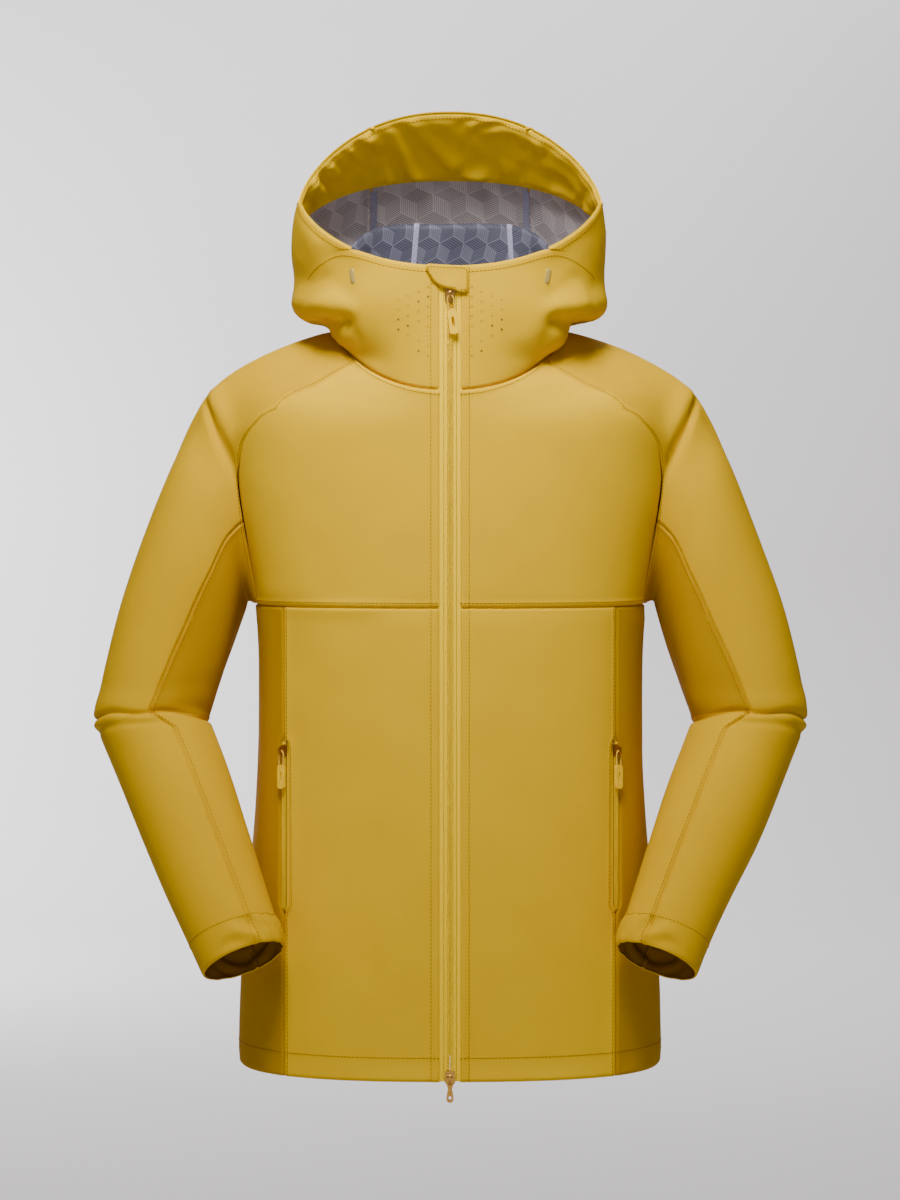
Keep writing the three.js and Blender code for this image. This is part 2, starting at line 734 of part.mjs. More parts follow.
// The moulded tab that holds the cord's ends.
function pullTab() {
  const tab = roundedShape(8.6, pullTabLength, 3);
  const slot = roundedShape(2.6, pullTabLength * 0.42, 1.2);
  tab.holes.push(new THREE.Path(slot.getPoints(3)));
  return flatPlate(tab, 2.4, -1.2).translate(0, 0, -pullCordDrop - 0.3 - pullTabLength / 2);
}

const eyeWidth = 4.2;
const eyeLength = 5;
const eyeCorner = 0.8;
const eyeDrop = 3.6;

// The waisted metal pull of the lower slider, with a bar at its top that turns in the bridge.
function waistedPull() {
  const pull = new THREE.Shape();
  const outline = [[3.6, 0.7], [3.6, -5], [1.9, -10], [3.3, -16], [3.3, -21], [1.6, -23]];
  pull.moveTo(-3.6, 0.7);
  outline.forEach(([x, z]) => pull.lineTo(x, z));
  outline.slice(1).reverse().forEach(([x, z]) => pull.lineTo(-x, z));
  const eyePoints = roundedShape(eyeWidth, eyeLength, eyeCorner).getPoints(4);
  const eye = eyePoints.map((p) => new THREE.Vector2(p.x, p.y - eyeDrop));
  const ringHole = roundedShape(3, 3, 1.4).getPoints(4).map((p) => new THREE.Vector2(p.x, p.y - 18.5));
  pull.holes.push(new THREE.Path(eye), new THREE.Path(ringHole));
  return flatPlate(pull, 1.4, -0.7);
}

const coilFrontY = -zipPlane - coilProud;
const zipTop = lipHeight - 5;

function frontZipParts() {
  const halves = [
    ['zip_tape', coilHalfGap + 0.1, tapeHalfWidth, tapeFront, tapeBack, 'zip'],
    ['zip_coil', coilHalfGap, coilHalfGap + coilWidth, 0, coilBack, 'zip'],
  ];
  for (const [name, fromX, toX, front, back, slot] of halves) {
    addPair(name, box(fromX, toX, coilFrontY + front, coilFrontY + back, hemHeight + 1, zipTop), slot);
  }
  const flapFront = coilFrontY + sliderBack + sliderPlate + zipPlay;
  const flapBack = flapFront + liningThickness;
  add('storm_flap', box(-15, 11, flapFront, flapBack, hemHeight + hemDepth + 2, zipTop - 2));

  const slider = { width: 9.5, length: 13 };
  const topSlider = place('main_slider', sliderSolid(slider.width, slider.length), 'bronze');
  topSlider.position.set(0, coilFrontY, topSliderHeight);
  const pull = new THREE.Group();
  pull.position.set(0, coilFrontY + pivotDepth, topSliderHeight);
  pull.rotation.y = radians(-7);
  pull.add(named('main_pull_cord', pullCord(), 'puller'), named('main_pull_tab', pullTab(), 'puller'));
  jacket.add(pull);

  const lowSlider = place('bottom_slider', sliderSolid(slider.width, slider.length), 'bronze');
  lowSlider.position.set(0, coilFrontY, hemHeight + bottomSliderRise);
  lowSlider.rotation.y = Math.PI;
  const lowPull = place('bottom_pull', waistedPull(), 'bronze');
  lowPull.position.set(0, coilFrontY + pivotDepth, hemHeight + bottomSliderRise);

  const garage = roundedShape(36, 25, 5);
  const hingeX = zipOpening + 3;
  const flap = place('zip_garage', flatPlate(garage, 1.2, -0.6));
  flap.position.set(hingeX - 18, coilFrontY - 1.6, topSliderHeight + slider.length / 2 + 1 + 12.5);
}

// The frame of a pocket zip: its middle, with Z along it, -Y out of the jacket.
function pocketFrame() {
  const seamPoint = (height) => {
    const v = trunkLevel(height);
    return trunk(angleAtX(trunkRings, v, pocketSeamX), v);
  };
  const top = seamPoint(pocketTop);
  const bottom = seamPoint(pocketBottom);
  const middle = top.clone().add(bottom).multiplyScalar(0.5);
  const up = top.sub(bottom).normalize();
  const v = trunkLevel((pocketTop + pocketBottom) / 2);
  const angle = angleAtX(trunkRings, v, pocketSeamX);
  const out = outwards((a, b) => trunk(angle - 1 + 2 * a, v - 0.05 + 0.1 * b), 0.5, 0.5);
  out.addScaledVector(up, -out.dot(up)).normalize();
  const inward = out.clone().negate();
  return new THREE.Matrix4().makeBasis(inward.clone().cross(up), inward, up).setPosition(middle);
}

const pocketCoilFront = 0.9;
const pocketEnd = 4;

// A flat frame round a long slot, so that both halves of a closed zip are one piece.
function slotted(halfWidth, slotHalf, front, back, length) {
  const outer = roundedShape(halfWidth * 2, length, 0.6);
  const slot = roundedShape(slotHalf * 2, length - 2 * pocketEnd, 0.3);
  outer.holes.push(new THREE.Path(slot.getPoints(2)));
  return flatPlate(outer, back - front, front);
}

function pocketParts() {
  const frame = pocketFrame();
  const reach = pocketLength / 2;
  const put = (solid, x, y, z) => solid.translate(x, y, z).applyMatrix4(frame);
  const depth = pocketCoilFront;
  const tape = slotted(pocketTapeHalfWidth, coilHalfGap + 0.1, tapeFront, tapeBack, pocketLength);
  const coil = slotted(coilHalfGap + coilWidth, coilHalfGap, 0, coilBack, pocketLength);
  addPair('pocket_tape', put(tape, 0, depth, 0), 'zip');
  addPair('pocket_coil', put(coil, 0, depth, 0), 'zip');
  const sliderAt = reach - 16;
  addPair('pocket_slider', put(sliderSolid(7.4, 12), 0, depth, sliderAt), 'bronze');
  const pivot = depth + pivotDepth;
  addPair('pocket_pull_cord', put(pullCord(), 0, pivot, sliderAt), 'puller');
  addPair('pocket_pull_tab', put(pullTab(), 0, pivot, sliderAt), 'puller');

  const bagInset = 9;
  const bagTop = trunkLevel(pocketTop - 14);
  const bagBottom = trunkLevel(pocketBottom - 70);
  const bag = trunkPanel(() => 22, (v) => angleAtX(trunkRings, v, pocketSeamX + 8), bagBottom, bagTop);
  addPair('pocket_bag', sheet(bag, 6, evenly(4), 2.5, bagInset), 'lining');
}

// ---- assembly ----

function named(name, geometry, slot = 'shell') {
  const mesh = new THREE.Mesh(geometry, materials[slot]());
  mesh.name = name;
  return mesh;
}

function place(name, geometry, slot) {
  const mesh = named(name, geometry, slot);
  jacket.add(mesh);
  return mesh;
}

function add(name, geometry, slot) {
  place(name, geometry, slot);
}

function addPair(name, geometry, slot) {
  place(`${name}_left`, geometry, slot);
  place(`${name}_right`, mirrored(geometry), slot);
}

trunkParts();
shoulderParts();
sleeveParts();
collarParts();
hoodParts();
hemParts();
frontZipParts();
pocketParts();

export default jacket;
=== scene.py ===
import json
import math

import bpy
import numpy as np
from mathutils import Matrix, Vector

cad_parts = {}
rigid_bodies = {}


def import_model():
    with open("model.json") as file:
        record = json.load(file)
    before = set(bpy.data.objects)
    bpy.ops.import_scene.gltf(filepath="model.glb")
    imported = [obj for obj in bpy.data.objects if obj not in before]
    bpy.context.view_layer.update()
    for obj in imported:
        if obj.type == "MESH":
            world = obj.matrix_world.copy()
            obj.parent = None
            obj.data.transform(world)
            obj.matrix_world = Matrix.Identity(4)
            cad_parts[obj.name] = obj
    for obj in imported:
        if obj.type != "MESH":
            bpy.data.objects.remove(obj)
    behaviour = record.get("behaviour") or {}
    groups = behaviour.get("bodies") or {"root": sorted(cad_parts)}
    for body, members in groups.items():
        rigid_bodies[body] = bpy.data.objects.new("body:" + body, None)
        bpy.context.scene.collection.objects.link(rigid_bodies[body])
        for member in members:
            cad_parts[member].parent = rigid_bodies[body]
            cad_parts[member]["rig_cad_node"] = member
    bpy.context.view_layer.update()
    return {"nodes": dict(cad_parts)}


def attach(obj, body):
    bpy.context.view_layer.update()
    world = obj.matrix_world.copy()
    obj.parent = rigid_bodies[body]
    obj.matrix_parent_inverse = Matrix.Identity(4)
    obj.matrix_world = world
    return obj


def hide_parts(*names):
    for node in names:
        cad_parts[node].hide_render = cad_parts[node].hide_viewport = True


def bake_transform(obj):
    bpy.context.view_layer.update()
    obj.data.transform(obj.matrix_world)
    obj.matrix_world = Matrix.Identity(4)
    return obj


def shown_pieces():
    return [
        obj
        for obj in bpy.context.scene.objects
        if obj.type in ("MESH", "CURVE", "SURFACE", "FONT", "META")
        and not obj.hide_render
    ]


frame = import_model()
scene = bpy.context.scene


class Value:
    def __init__(self, tree, socket):
        self.tree = tree
        self.socket = socket

    def math(self, operation, *others):
        return node(self.tree, "ShaderNodeMath", {"operation": operation}, (self, *others))

    def __add__(self, other):
        return self.math("ADD", other)

    def __sub__(self, other):
        return self.math("SUBTRACT", other)

    def __mul__(self, other):
        return self.math("MULTIPLY", other)

    def __truediv__(self, other):
        return self.math("DIVIDE", other)

    def __rsub__(self, other):
        return node(self.tree, "ShaderNodeMath", {"operation": "SUBTRACT"}, (other, self))

    def __rtruediv__(self, other):
        return node(self.tree, "ShaderNodeMath", {"operation": "DIVIDE"}, (other, self))

    def __neg__(self):
        return self * -1

    __radd__ = __add__
    __rmul__ = __mul__

    # Rises smoothly from 0 at low to 1 at high.
    def step(self, low, high):
        return node(
            self.tree, "ShaderNodeMapRange", {"interpolation_type": "SMOOTHSTEP"}, (self, low, high)
        )


def plug(tree, value, slot):
    if isinstance(value, Value):
        tree.links.new(value.socket, slot)
    elif value is not None:
        slot.default_value = value


def node(tree, kind, settings=None, inputs=(), output=0):
    made = tree.nodes.new(kind)
    for key, value in (settings or {}).items():
        setattr(made, key, value)
    pairs = inputs.items() if isinstance(inputs, dict) else enumerate(inputs)
    for key, value in pairs:
        plug(tree, value, made.inputs[key])
    return Value(tree, made.outputs[output])


def mixColor(tree, factor, first, second):
    made = tree.nodes.new("ShaderNodeMix")
    made.data_type = "RGBA"
    plug(tree, factor, made.inputs[0])
    plug(tree, first, made.inputs[6])
    plug(tree, second, made.inputs[7])
    return Value(tree, made.outputs[2])


def material(name, roughness=0.6, metallic=0.0, **constants):
    made = bpy.data.materials.new(name)
    made.use_nodes = True
    tree = made.node_tree
    shader = tree.nodes["Principled BSDF"]
    shader.inputs["Roughness"].default_value = roughness
    shader.inputs["Metallic"].default_value = metallic
    for key, value in constants.items():
        shader.inputs[key.replace("_", " ")].default_value = value
    return made, tree, shader


# A colour from its 0 to 255 screen values.
def color(red, green, blue):
    parts = []
    for value in (red, green, blue):
        c = value / 255
        parts.append(c / 12.92 if c <= 0.04045 else ((c + 0.055) / 1.055) ** 2.4)
    return (*parts, 1)


def clothPlace(tree):
    return node(tree, "ShaderNodeAttribute", {"attribute_name": "cloth"}, output=1)


def noise(tree, place, scale, detail=2.0, roughness=0.5):
    inputs = {"Vector": place, "Scale": scale, "Detail": detail, "Roughness": roughness}
    return node(tree, "ShaderNodeTexNoise", {}, inputs)


def bump(tree, shader, height, strength, distance):
    made = node(
        tree, "ShaderNodeBump", {}, {"Strength": strength, "Distance": distance, "Height": height}
    )
    plug(tree, made, shader.inputs["Normal"])


# Woven shell cloth: a fine cross weave with slightly uneven yarns.
def shellCloth(name, light, dark, roughness=0.72):
    made, tree, shader = material(name, roughness, 0.0)
    shader.inputs["Specular IOR Level"].default_value = 0.03
    place = clothPlace(tree)
    broad = noise(tree, place, 0.012, 3.0).step(0.3, 0.7)
    grain = noise(tree, place, 1.1, 3.0, 0.65)
    fleck = grain.step(0.35, 0.68)
    tone = mixColor(tree, broad * 0.45 + fleck * 0.35, light, dark)
    plug(tree, tone, shader.inputs["Base Color"])
    plug(tree, grain * 0.18 + (roughness - 0.09), shader.inputs["Roughness"])
    apart = tree.nodes.new("ShaderNodeSeparateXYZ")
    plug(tree, place, apart.inputs[0])
    across = Value(tree, apart.outputs[0])
    along = Value(tree, apart.outputs[1])
    yarn = (across * 5.2).math("SINE") * (along * 5.2).math("SINE")
    bump(tree, shader, yarn * 0.3 + grain + broad * 0.2, 0.35, 0.00016)
    return made


# Lining print: a field of tumbling blocks, each face hatched along one of three directions.
def printedLining(name, ground, ink, light, cell=34.0):
    made, tree, shader = material(name, 0.6, 0.0, Specular_IOR_Level=0.2)
    place = clothPlace(tree)
    apart = tree.nodes.new("ShaderNodeSeparateXYZ")
    plug(tree, place, apart.inputs[0])
    x = Value(tree, apart.outputs[0])
    y = Value(tree, apart.outputs[1])
    tall = cell * math.sqrt(3)

    # Place measured from the nearest point of one of the two sets of hexagon centres.
    def aroundCentre(shift):
        u = (x + shift * cell).math("FLOORED_MODULO", cell) - cell / 2
        v = (y + shift * tall).math("FLOORED_MODULO", tall) - tall / 2
        return u, v, u * u + v * v

    u0, v0, d0 = aroundCentre(0.0)
    u1, v1, d1 = aroundCentre(0.5)
    nearFirst = d0.math("LESS_THAN", d1)
    u = u0 * nearFirst + u1 * (1 - nearFirst)
    v = v0 * nearFirst + v1 * (1 - nearFirst)
    # Three spokes cut each hexagon into the three faces of a block, each hatched its own way.
    hatch, tone, outline = 0.0, ground, None
    root = math.sqrt(3) / 2
    spokes = [(0.0, 1.0), (-root, -0.5), (root, -0.5)]
    faces, crossings = [], []
    for c, s in spokes:
        side = u * s - v * c
        ahead = u * c + v * s
        crossings.append((side, ahead))
    for k in range(3):
        first, second = crossings[k], crossings[(k + 1) % 3]
        inFace = first[0].math("LESS_THAN", 0.0) * second[0].math("GREATER_THAN", 0.0)
        faces.append(inFace)
        line = (first[0] / 2.1).math("FRACT").math("COMPARE", 0.5, 0.22)
        hatch = line * inFace + hatch
    for side, ahead in crossings:
        near = (1 - side.math("ABSOLUTE").step(0.25, 0.8)) * ahead.math("GREATER_THAN", 0.0)
        outline = near if outline is None else outline.math("MAXIMUM", near)
    tone = mixColor(tree, hatch * 0.75, tone, ink)
    tone = mixColor(tree, faces[0] * 0.3, tone, light)
    tone = mixColor(tree, faces[1] * 0.18, tone, ink)
    tone = mixColor(tree, outline * 0.55, tone, light)
    cloudy = noise(tree, place, 0.02, 2.0).step(0.3, 0.75)
    tone = mixColor(tree, cloudy * 0.25, tone, ink)
    plug(tree, tone, shader.inputs["Base Color"])
    bump(tree, shader, noise(tree, place, 1.4, 2.0), 0.2, 0.0001)
    return made


def plainCloth(name, light, dark, scale=0.9, roughness=0.7):
    made, tree, shader = material(name, roughness, Specular_IOR_Level=0.08)
    place = clothPlace(tree)
    grain = noise(tree, place, scale, 3.0)
    plug(tree, mixColor(tree, grain.step(0.3, 0.7), light, dark), shader.inputs["Base Color"])
    bump(tree, shader, grain, 0.3, 0.0002)
    return made


# Hard pieces carry no cloth attribute, so their grain follows the place in the piece itself.
def hardFinish(name, light, dark, roughness, metallic=0.0, scale=400.0, wear=0.25, **constants):
    made, tree, shader = material(name, roughness, metallic, **constants)
    place = node(tree, "ShaderNodeTexCoord", {}, output=3)
    grain = noise(tree, place, scale, 3.0)
    plug(tree, mixColor(tree, grain.step(0.3, 0.75), light, dark), shader.inputs["Base Color"])
    plug(tree, grain * wear + (roughness - wear / 2), shader.inputs["Roughness"])
    bump(tree, shader, grain, 0.15, 0.0001)
    return made


shellYellow = shellCloth("shellYellow", color(228, 182, 0), color(220, 172, 0))
# The cloth's back, a darker copy of the shell: painted shade for the insides of the sleeves, the hem facing
# and the storm flap.
shellBack = shellCloth("shellBack", color(150, 104, 20), color(134, 90, 16), 0.8)
# A brighter copy of the shell for the brim facing: painted light inside the hood.
brimYellow = shellCloth("brimYellow", color(255, 208, 6), color(248, 198, 2), 0.7)
# A darker copy of the shell: painted shade for the side panels and the strip under the upper arm.
shellShade = shellCloth("shellShade", color(186, 140, 0), color(178, 132, 0))
# A darker copy of the shell for the sleeves: painted shade where they turn away from the light.
sleeveYellow = shellCloth("sleeveYellow", color(212, 166, 0), color(204, 158, 0))
liningPrint = printedLining(
    "liningPrint", color(214, 204, 208), color(126, 118, 124), color(236, 228, 232)
)
standPrint = printedLining(
    "standPrint", color(88, 88, 104), color(46, 46, 62), color(126, 126, 144), 24.0
)
seamTapeCloth = plainCloth("seamTapeCloth", color(160, 158, 184), color(138, 136, 162), 0.4, 0.5)
bindingCloth = plainCloth("bindingCloth", color(212, 166, 56), color(196, 148, 46), 1.3)
threadYellow = plainCloth("threadYellow", color(158, 106, 8), color(138, 90, 6), 1.5, 0.6)
zipCloth = plainCloth("zipCloth", color(255, 216, 0), color(250, 204, 0), 1.6, 0.62)
coilPlastic = hardFinish(
    "coilPlastic", color(255, 222, 0), color(250, 210, 0), 0.45, Specular_IOR_Level=0.12
)
bronze = hardFinish(
    "bronze", color(196, 150, 74), color(150, 106, 46), 0.34, 1.0, 900.0, 0.2
)
mouldedYellow = hardFinish(
    "mouldedYellow", color(255, 210, 0), color(248, 198, 0), 0.38, 0.0, 300.0, 0.12, Specular_IOR_Level=0.25
)
cordYellow = hardFinish("cordYellow", color(232, 190, 52), color(206, 160, 40), 0.7, 0.0, 1500.0)
# A shaded yellow for the punched holes: painted shade inside them.
holeDark = hardFinish("holeDark", color(120, 84, 26), color(96, 66, 22), 0.9)
reflective = hardFinish("reflective", color(206, 176, 92), color(188, 158, 80), 0.3, 0.35, 500.0)
innerTrim = hardFinish("innerTrim", color(150, 130, 90), color(130, 112, 76), 0.8)
print("materials made")


# Each row is an outline: half width, front y and z, side y and z, back y and z, squareness.
zipPlane = -126.0
trunkRings = np.array([
    [207, zipPlane, -702, 0, -702, 120, -702, 2.5],
    [203.5, zipPlane, -600, 0, -600, 118, -600, 2.5],
    [191, zipPlane, -450, 0, -450, 112, -450, 2.5],
    [187.5, zipPlane, -350, 0, -350, 110, -350, 2.5],
    [190.5, zipPlane, -253.7, 0, -253.7, 113, -253.7, 2.5],
    [212, zipPlane, -130, 0, -130, 118, -130, 2.5],
    [214, zipPlane, -86, 4, -27, 112, -48, 2.5],
    [161, zipPlane, -66, 0, -4, 103, -8, 2.35],
    [108, zipPlane, -48, -6, 14, 92, 24, 2.2],
])
hoodRings = np.array([
    [108, zipPlane, -48, -6, 14, 92, 24, 2.2],
    [121, zipPlane, -25, -4, 12, 106, 50, 2.2],
    [147, zipPlane, 0, -6, 34, 122, 84, 2.2],
    [152.5, zipPlane, 24, -14, 74, 128, 122, 2.2],
    [151, zipPlane, 46, -34, 106, 92, 172, 2.2],
    [145, zipPlane, 68, -62, 136, 22, 231, 2.2],
])


# The outline's sizes at position v, counted in rings, along a smooth curve through them.
def ringsAt(rings, v):
    v = np.asarray(v, float)
    last = len(rings) - 1
    i = np.clip(np.floor(v).astype(int), 0, last - 1)
    t = (v - i)[..., None]
    a, b = rings[np.maximum(i - 1, 0)], rings[i]
    c, d = rings[i + 1], rings[np.minimum(i + 2, last)]
    bend = (2 * a - 5 * b + 4 * c - d) * t**2 + (3 * b - a - 3 * c + d) * t**3
    return 0.5 * (2 * b + (c - a) * t + bend)


# A point on the outline: angle 0 is the front, 90 the wearer's left, 180 the back.
def onRing(rings, degrees, v):
    degrees, v = np.broadcast_arrays(np.asarray(degrees, float), np.asarray(v, float))
    size = ringsAt(rings, v)
    c = np.cos(np.radians(degrees))
    s = np.sin(np.radians(degrees))
    square = size[..., 7]
    along = np.abs(c) ** (2 / square)
    across = np.sign(s) * np.abs(s) ** (2 / square)
    front = c > 0
    endY = np.where(front, size[..., 1], size[..., 5])
    endZ = np.where(front, size[..., 2], size[..., 6])
    x = size[..., 0] * across
    y = size[..., 3] + (endY - size[..., 3]) * along
    z = size[..., 4] + (endZ - size[..., 4]) * np.abs(c) ** 1.3
    return np.stack([x, y, z], -1)


def angleAtX(rings, v, x):
    size = ringsAt(rings, v)
    sine = np.minimum(x / size[..., 0], 1) ** (size[..., 7] / 2)
    return np.degrees(np.arcsin(sine))


levelTable = np.linspace(0, 5, 801)
levelHeights = ringsAt(trunkRings, levelTable)[:, 2]


def trunkLevel(height):
    return np.interp(height, levelHeights, levelTable)


yokeLevel = float(trunkLevel(-253))


# The angle of the seam between trunk and shoulder, from the armpit up to the neck.
def raglan(v):
    return np.interp(v, [yokeLevel, 4.5, 5, 5.3, 5.6, 6, 7, 8], [78, 75.5, 73, 66, 55, 45, 48, 53])


def smoothstep(x, low=0.0, high=1.0):
    t = np.clip((np.asarray(x, float) - low) / (high - low), 0, 1)
    return t * t * (3 - 2 * t)


def hill(x, middle, width):
    return np.exp(-(((np.asarray(x, float) - middle) / width) ** 2))


outerLine = [[216, -28], [243, -55], [280, -135], [321, -249], [349.1, -366]]
innerLine = [[199.5, -250], [201.5, -257], [205.5, -271], [215.5, -305], [236.1, -366]]


# A curve through the points, rounded evenly however far apart they lie.
def smoothLine(points, t):
    points = np.asarray(points, float)
    ends = [2 * points[0] - points[1], *points, 2 * points[-1] - points[-2]]
    points = np.array(ends)
    place = np.asarray(t, float) * (len(points) - 3)
    i = np.clip(np.floor(place).astype(int), 0, len(points) - 4)
    f = (place - i)[..., None]
    p = [points[i + k] for k in range(4)]
    gaps = [np.linalg.norm(p[k + 1] - p[k], axis=-1)[..., None] ** 0.5 for k in range(3)]
    first = (p[1] - p[0]) / gaps[0] - (p[2] - p[0]) / (gaps[0] + gaps[1]) + (p[2] - p[1]) / gaps[1]
    last = (p[2] - p[1]) / gaps[1] - (p[3] - p[1]) / (gaps[1] + gaps[2]) + (p[3] - p[2]) / gaps[2]
    m, n = first * gaps[1], last * gaps[1]
    return (
        p[1]
        + m * f
        + (3 * (p[2] - p[1]) - 2 * m - n) * f**2
        + (2 * (p[1] - p[2]) + m + n) * f**3
    )


def upperSleeve(turns, t):
    turns, t = np.broadcast_arrays(np.asarray(turns, float), np.asarray(t, float))
    outer, inner = smoothLine(outerLine, t), smoothLine(innerLine, t)
    turn = turns * 2 * math.pi
    tilt = np.radians(12.9) * smoothstep(t)
    depth = (56 + 2 * t) * np.sin(turn)
    flat = (outer + inner) / 2 + (outer - inner) * np.cos(turn)[..., None] / 2
    y = 8 - 22 * t - depth * np.cos(tilt)
    return np.stack([flat[..., 0], y, flat[..., 1] + depth * np.sin(tilt)], -1)


elbowAt = np.array([292.6, -14.0, -366.0])
cuffAt = np.array([195.0, -130.0, -585.0])
forearmLength = float(np.linalg.norm(cuffAt - elbowAt))
forearmAim = (cuffAt - elbowAt) / forearmLength
cuffOut = np.array([1.0, 0, 0]) - forearmAim * forearmAim[0]
cuffOut /= np.linalg.norm(cuffOut)
cuffBack = -np.cross(forearmAim, cuffOut)
elbowBack = np.array([0, math.cos(math.radians(12.9)), -math.sin(math.radians(12.9))])


def forearm(turns, t):
    turns, t = np.broadcast_arrays(np.asarray(turns, float), np.asarray(t, float))
    turn = (turns * 2 * math.pi)[..., None]
    t = t[..., None]
    out = np.array([1.0, 0, 0]) * (1 - t) + cuffOut * t
    back = elbowBack * (1 - t) + cuffBack * t
    out /= np.linalg.norm(out, axis=-1, keepdims=True)
    back /= np.linalg.norm(back, axis=-1, keepdims=True)
    taper = np.clip(t, 0, None) ** 1.2
    wide, deep = 56.5 - 15.5 * taper, 58 - 20 * taper
    middle = elbowAt + (cuffAt - elbowAt) * t
    return middle + out * wide * np.cos(turn) - back * deep * np.sin(turn)


rng = np.random.default_rng(11)
lattice = rng.standard_normal((32, 32, 32))


# Smooth random heights about zero, with hills about size across.
def softNoise(points, size):
    q = np.asarray(points, float) / size + 100.0
    base = np.floor(q).astype(int)
    f = q - base
    f = f * f * f * (f * (f * 6 - 15) + 10)
    total = 0.0
    for dx in (0, 1):
        for dy in (0, 1):
            for dz in (0, 1):
                share = np.ones(f.shape[:-1])
                for axis, step in enumerate((dx, dy, dz)):
                    share = share * (f[..., axis] if step else 1 - f[..., axis])
                corner = (base + [dx, dy, dz]) % 32
                total = total + share * lattice[corner[..., 0], corner[..., 1], corner[..., 2]]
    return total


def normalsOf(grid, wraps=False):
    if wraps:
        across = np.roll(grid, -1, 1) - np.roll(grid, 1, 1)
    else:
        across = np.gradient(grid, axis=1)
    up = np.gradient(grid, axis=0)
    n = np.cross(across, up)
    return n / np.maximum(np.linalg.norm(n, axis=-1, keepdims=True), 1e-9)


# Shares of a length, a cell apart, with closer ones near both ends for the seams.
def spread(length, cell, close=True):
    near = [0, 0.7, 1.5, 2.6, 4.2, 5.6, 7.2, 9.2] if close else [0]
    count = max(int(round((length - 2 * near[-1]) / cell)), 2)
    middle = np.linspace(near[-1], length - near[-1], count + 1)
    marks = np.concatenate([near[:-1], middle, length - np.array(near[:-1])[::-1]])
    return marks / length


def arcLengths(grid, axis):
    steps = np.linalg.norm(np.diff(grid, axis=axis), axis=-1)
    zero = np.zeros_like(np.take(steps, [0], axis))
    return np.concatenate([zero, np.cumsum(steps, axis)], axis)


def meshPiece(name, points, faces, materials, slots=None, cloth=None, sharp=None, flat=False):
    mesh = bpy.data.meshes.new(name)
    points = np.asarray(points, float).reshape(-1, 3)
    mesh.from_pydata((points / 1000).tolist(), [], faces)
    for made in materials:
        mesh.materials.append(made)
    if slots is not None:
        mesh.polygons.foreach_set("material_index", np.asarray(slots, np.int32))
    if not flat:
        mesh.polygons.foreach_set("use_smooth", [True] * len(mesh.polygons))
    place = mesh.attributes.new("cloth", "FLOAT_VECTOR", "POINT")
    laid = points if cloth is None else np.asarray(cloth, float).reshape(-1, 3)
    place.data.foreach_set("vector", laid.astype(np.float32).ravel())
    if sharp is not None and len(sharp):
        ends = np.zeros(len(mesh.edges) * 2, np.int32)
        mesh.edges.foreach_get("vertices", ends)
        ends = ends.reshape(-1, 2)
        flags = np.zeros(len(points), bool)
        flags[sharp] = True
        both = flags[ends[:, 0]] & flags[ends[:, 1]]
        marks = mesh.attributes.new("sharp_edge", "BOOLEAN", "EDGE")
        marks.data.foreach_set("value", both)
    mesh.update()
    made = bpy.data.objects.new(name, mesh)
    scene.collection.objects.link(made)
    return made


# A closed shell: the grid is its outer face, rows running up and columns left to right.
def shell(name, grid, thickness, outside, inside, cloth, wraps=False, normals=None):
    rows, columns = grid.shape[:2]
    n = normalsOf(grid, wraps) if normals is None else normals
    points = np.concatenate([grid.reshape(-1, 3), (grid - n * thickness).reshape(-1, 3)])
    half = rows * columns
    index = np.arange(half).reshape(rows, columns)
    right = np.roll(index, -1, 1)
    last = columns if wraps else columns - 1
    a, b = index[:-1, :last], right[:-1, :last]
    c, d = right[1:, :last], index[1:, :last]
    outer = np.stack([a, b, c, d], -1).reshape(-1, 4)
    inner = np.stack([a, d, c, b], -1).reshape(-1, 4) + half
    low, lowNext = index[0, :last], right[0, :last]
    high, highNext = index[-1, :last], right[-1, :last]
    rim = [
        np.stack([low + half, lowNext + half, lowNext, low], -1),
        np.stack([high, highNext, highNext + half, high + half], -1),
    ]
    edge = [index[0], index[-1]]
    if not wraps:
        for side, order in ((0, 1), (-1, -1)):
            one, two = index[:-1, side], index[1:, side]
            quad = np.stack([one, two, two + half, one + half], -1)
            rim.append(quad[:, ::order])
            edge.append(index[:, side])
    rim = np.concatenate(rim)
    faces = np.concatenate([outer, inner, rim]).tolist()
    slots = np.concatenate([np.zeros(len(outer)), np.ones(len(inner)), np.zeros(len(rim))])
    edge = np.unique(np.concatenate(edge))
    laid = np.concatenate([cloth.reshape(-1, 3), cloth.reshape(-1, 3)])
    sharp = np.concatenate([edge, edge + half])
    return meshPiece(name, points, faces, [outside, inside], slots, laid, sharp)


# How an edge is finished, as heights above the cloth at a distance from the edge.
def edgeProfile(kind, distance):
    groove = -2.3 * np.exp(-((distance / 1.15) ** 2))
    if kind == "open":
        return 0 * distance
    if kind == "rolled":
        return -2.2 * np.clip(1 - distance / 3.2, 0, 1) ** 2
    if kind == "welt":
        return groove + 0.5 * smoothstep(distance, 0.6, 2.2) * (1 - smoothstep(distance, 5.2, 6.6))
    return groove


panels = {}
zipEdgeX = 9.0


# Rounds a grid off along its columns where the mask is 1.
def soften(grid, passes, mask):
    for _ in range(passes):
        inner = (grid[:-2] + grid[2:]) / 2
        grid[1:-1] += 0.5 * mask[1:-1, :, None] * (inner - grid[1:-1])
    return grid


def distances(grid):
    along = arcLengths(grid, 1)
    up = arcLengths(grid, 0)
    return {
        "left": along,
        "right": along[:, -1:] - along,
        "bottom": up,
        "top": up[-1:] - up,
    }


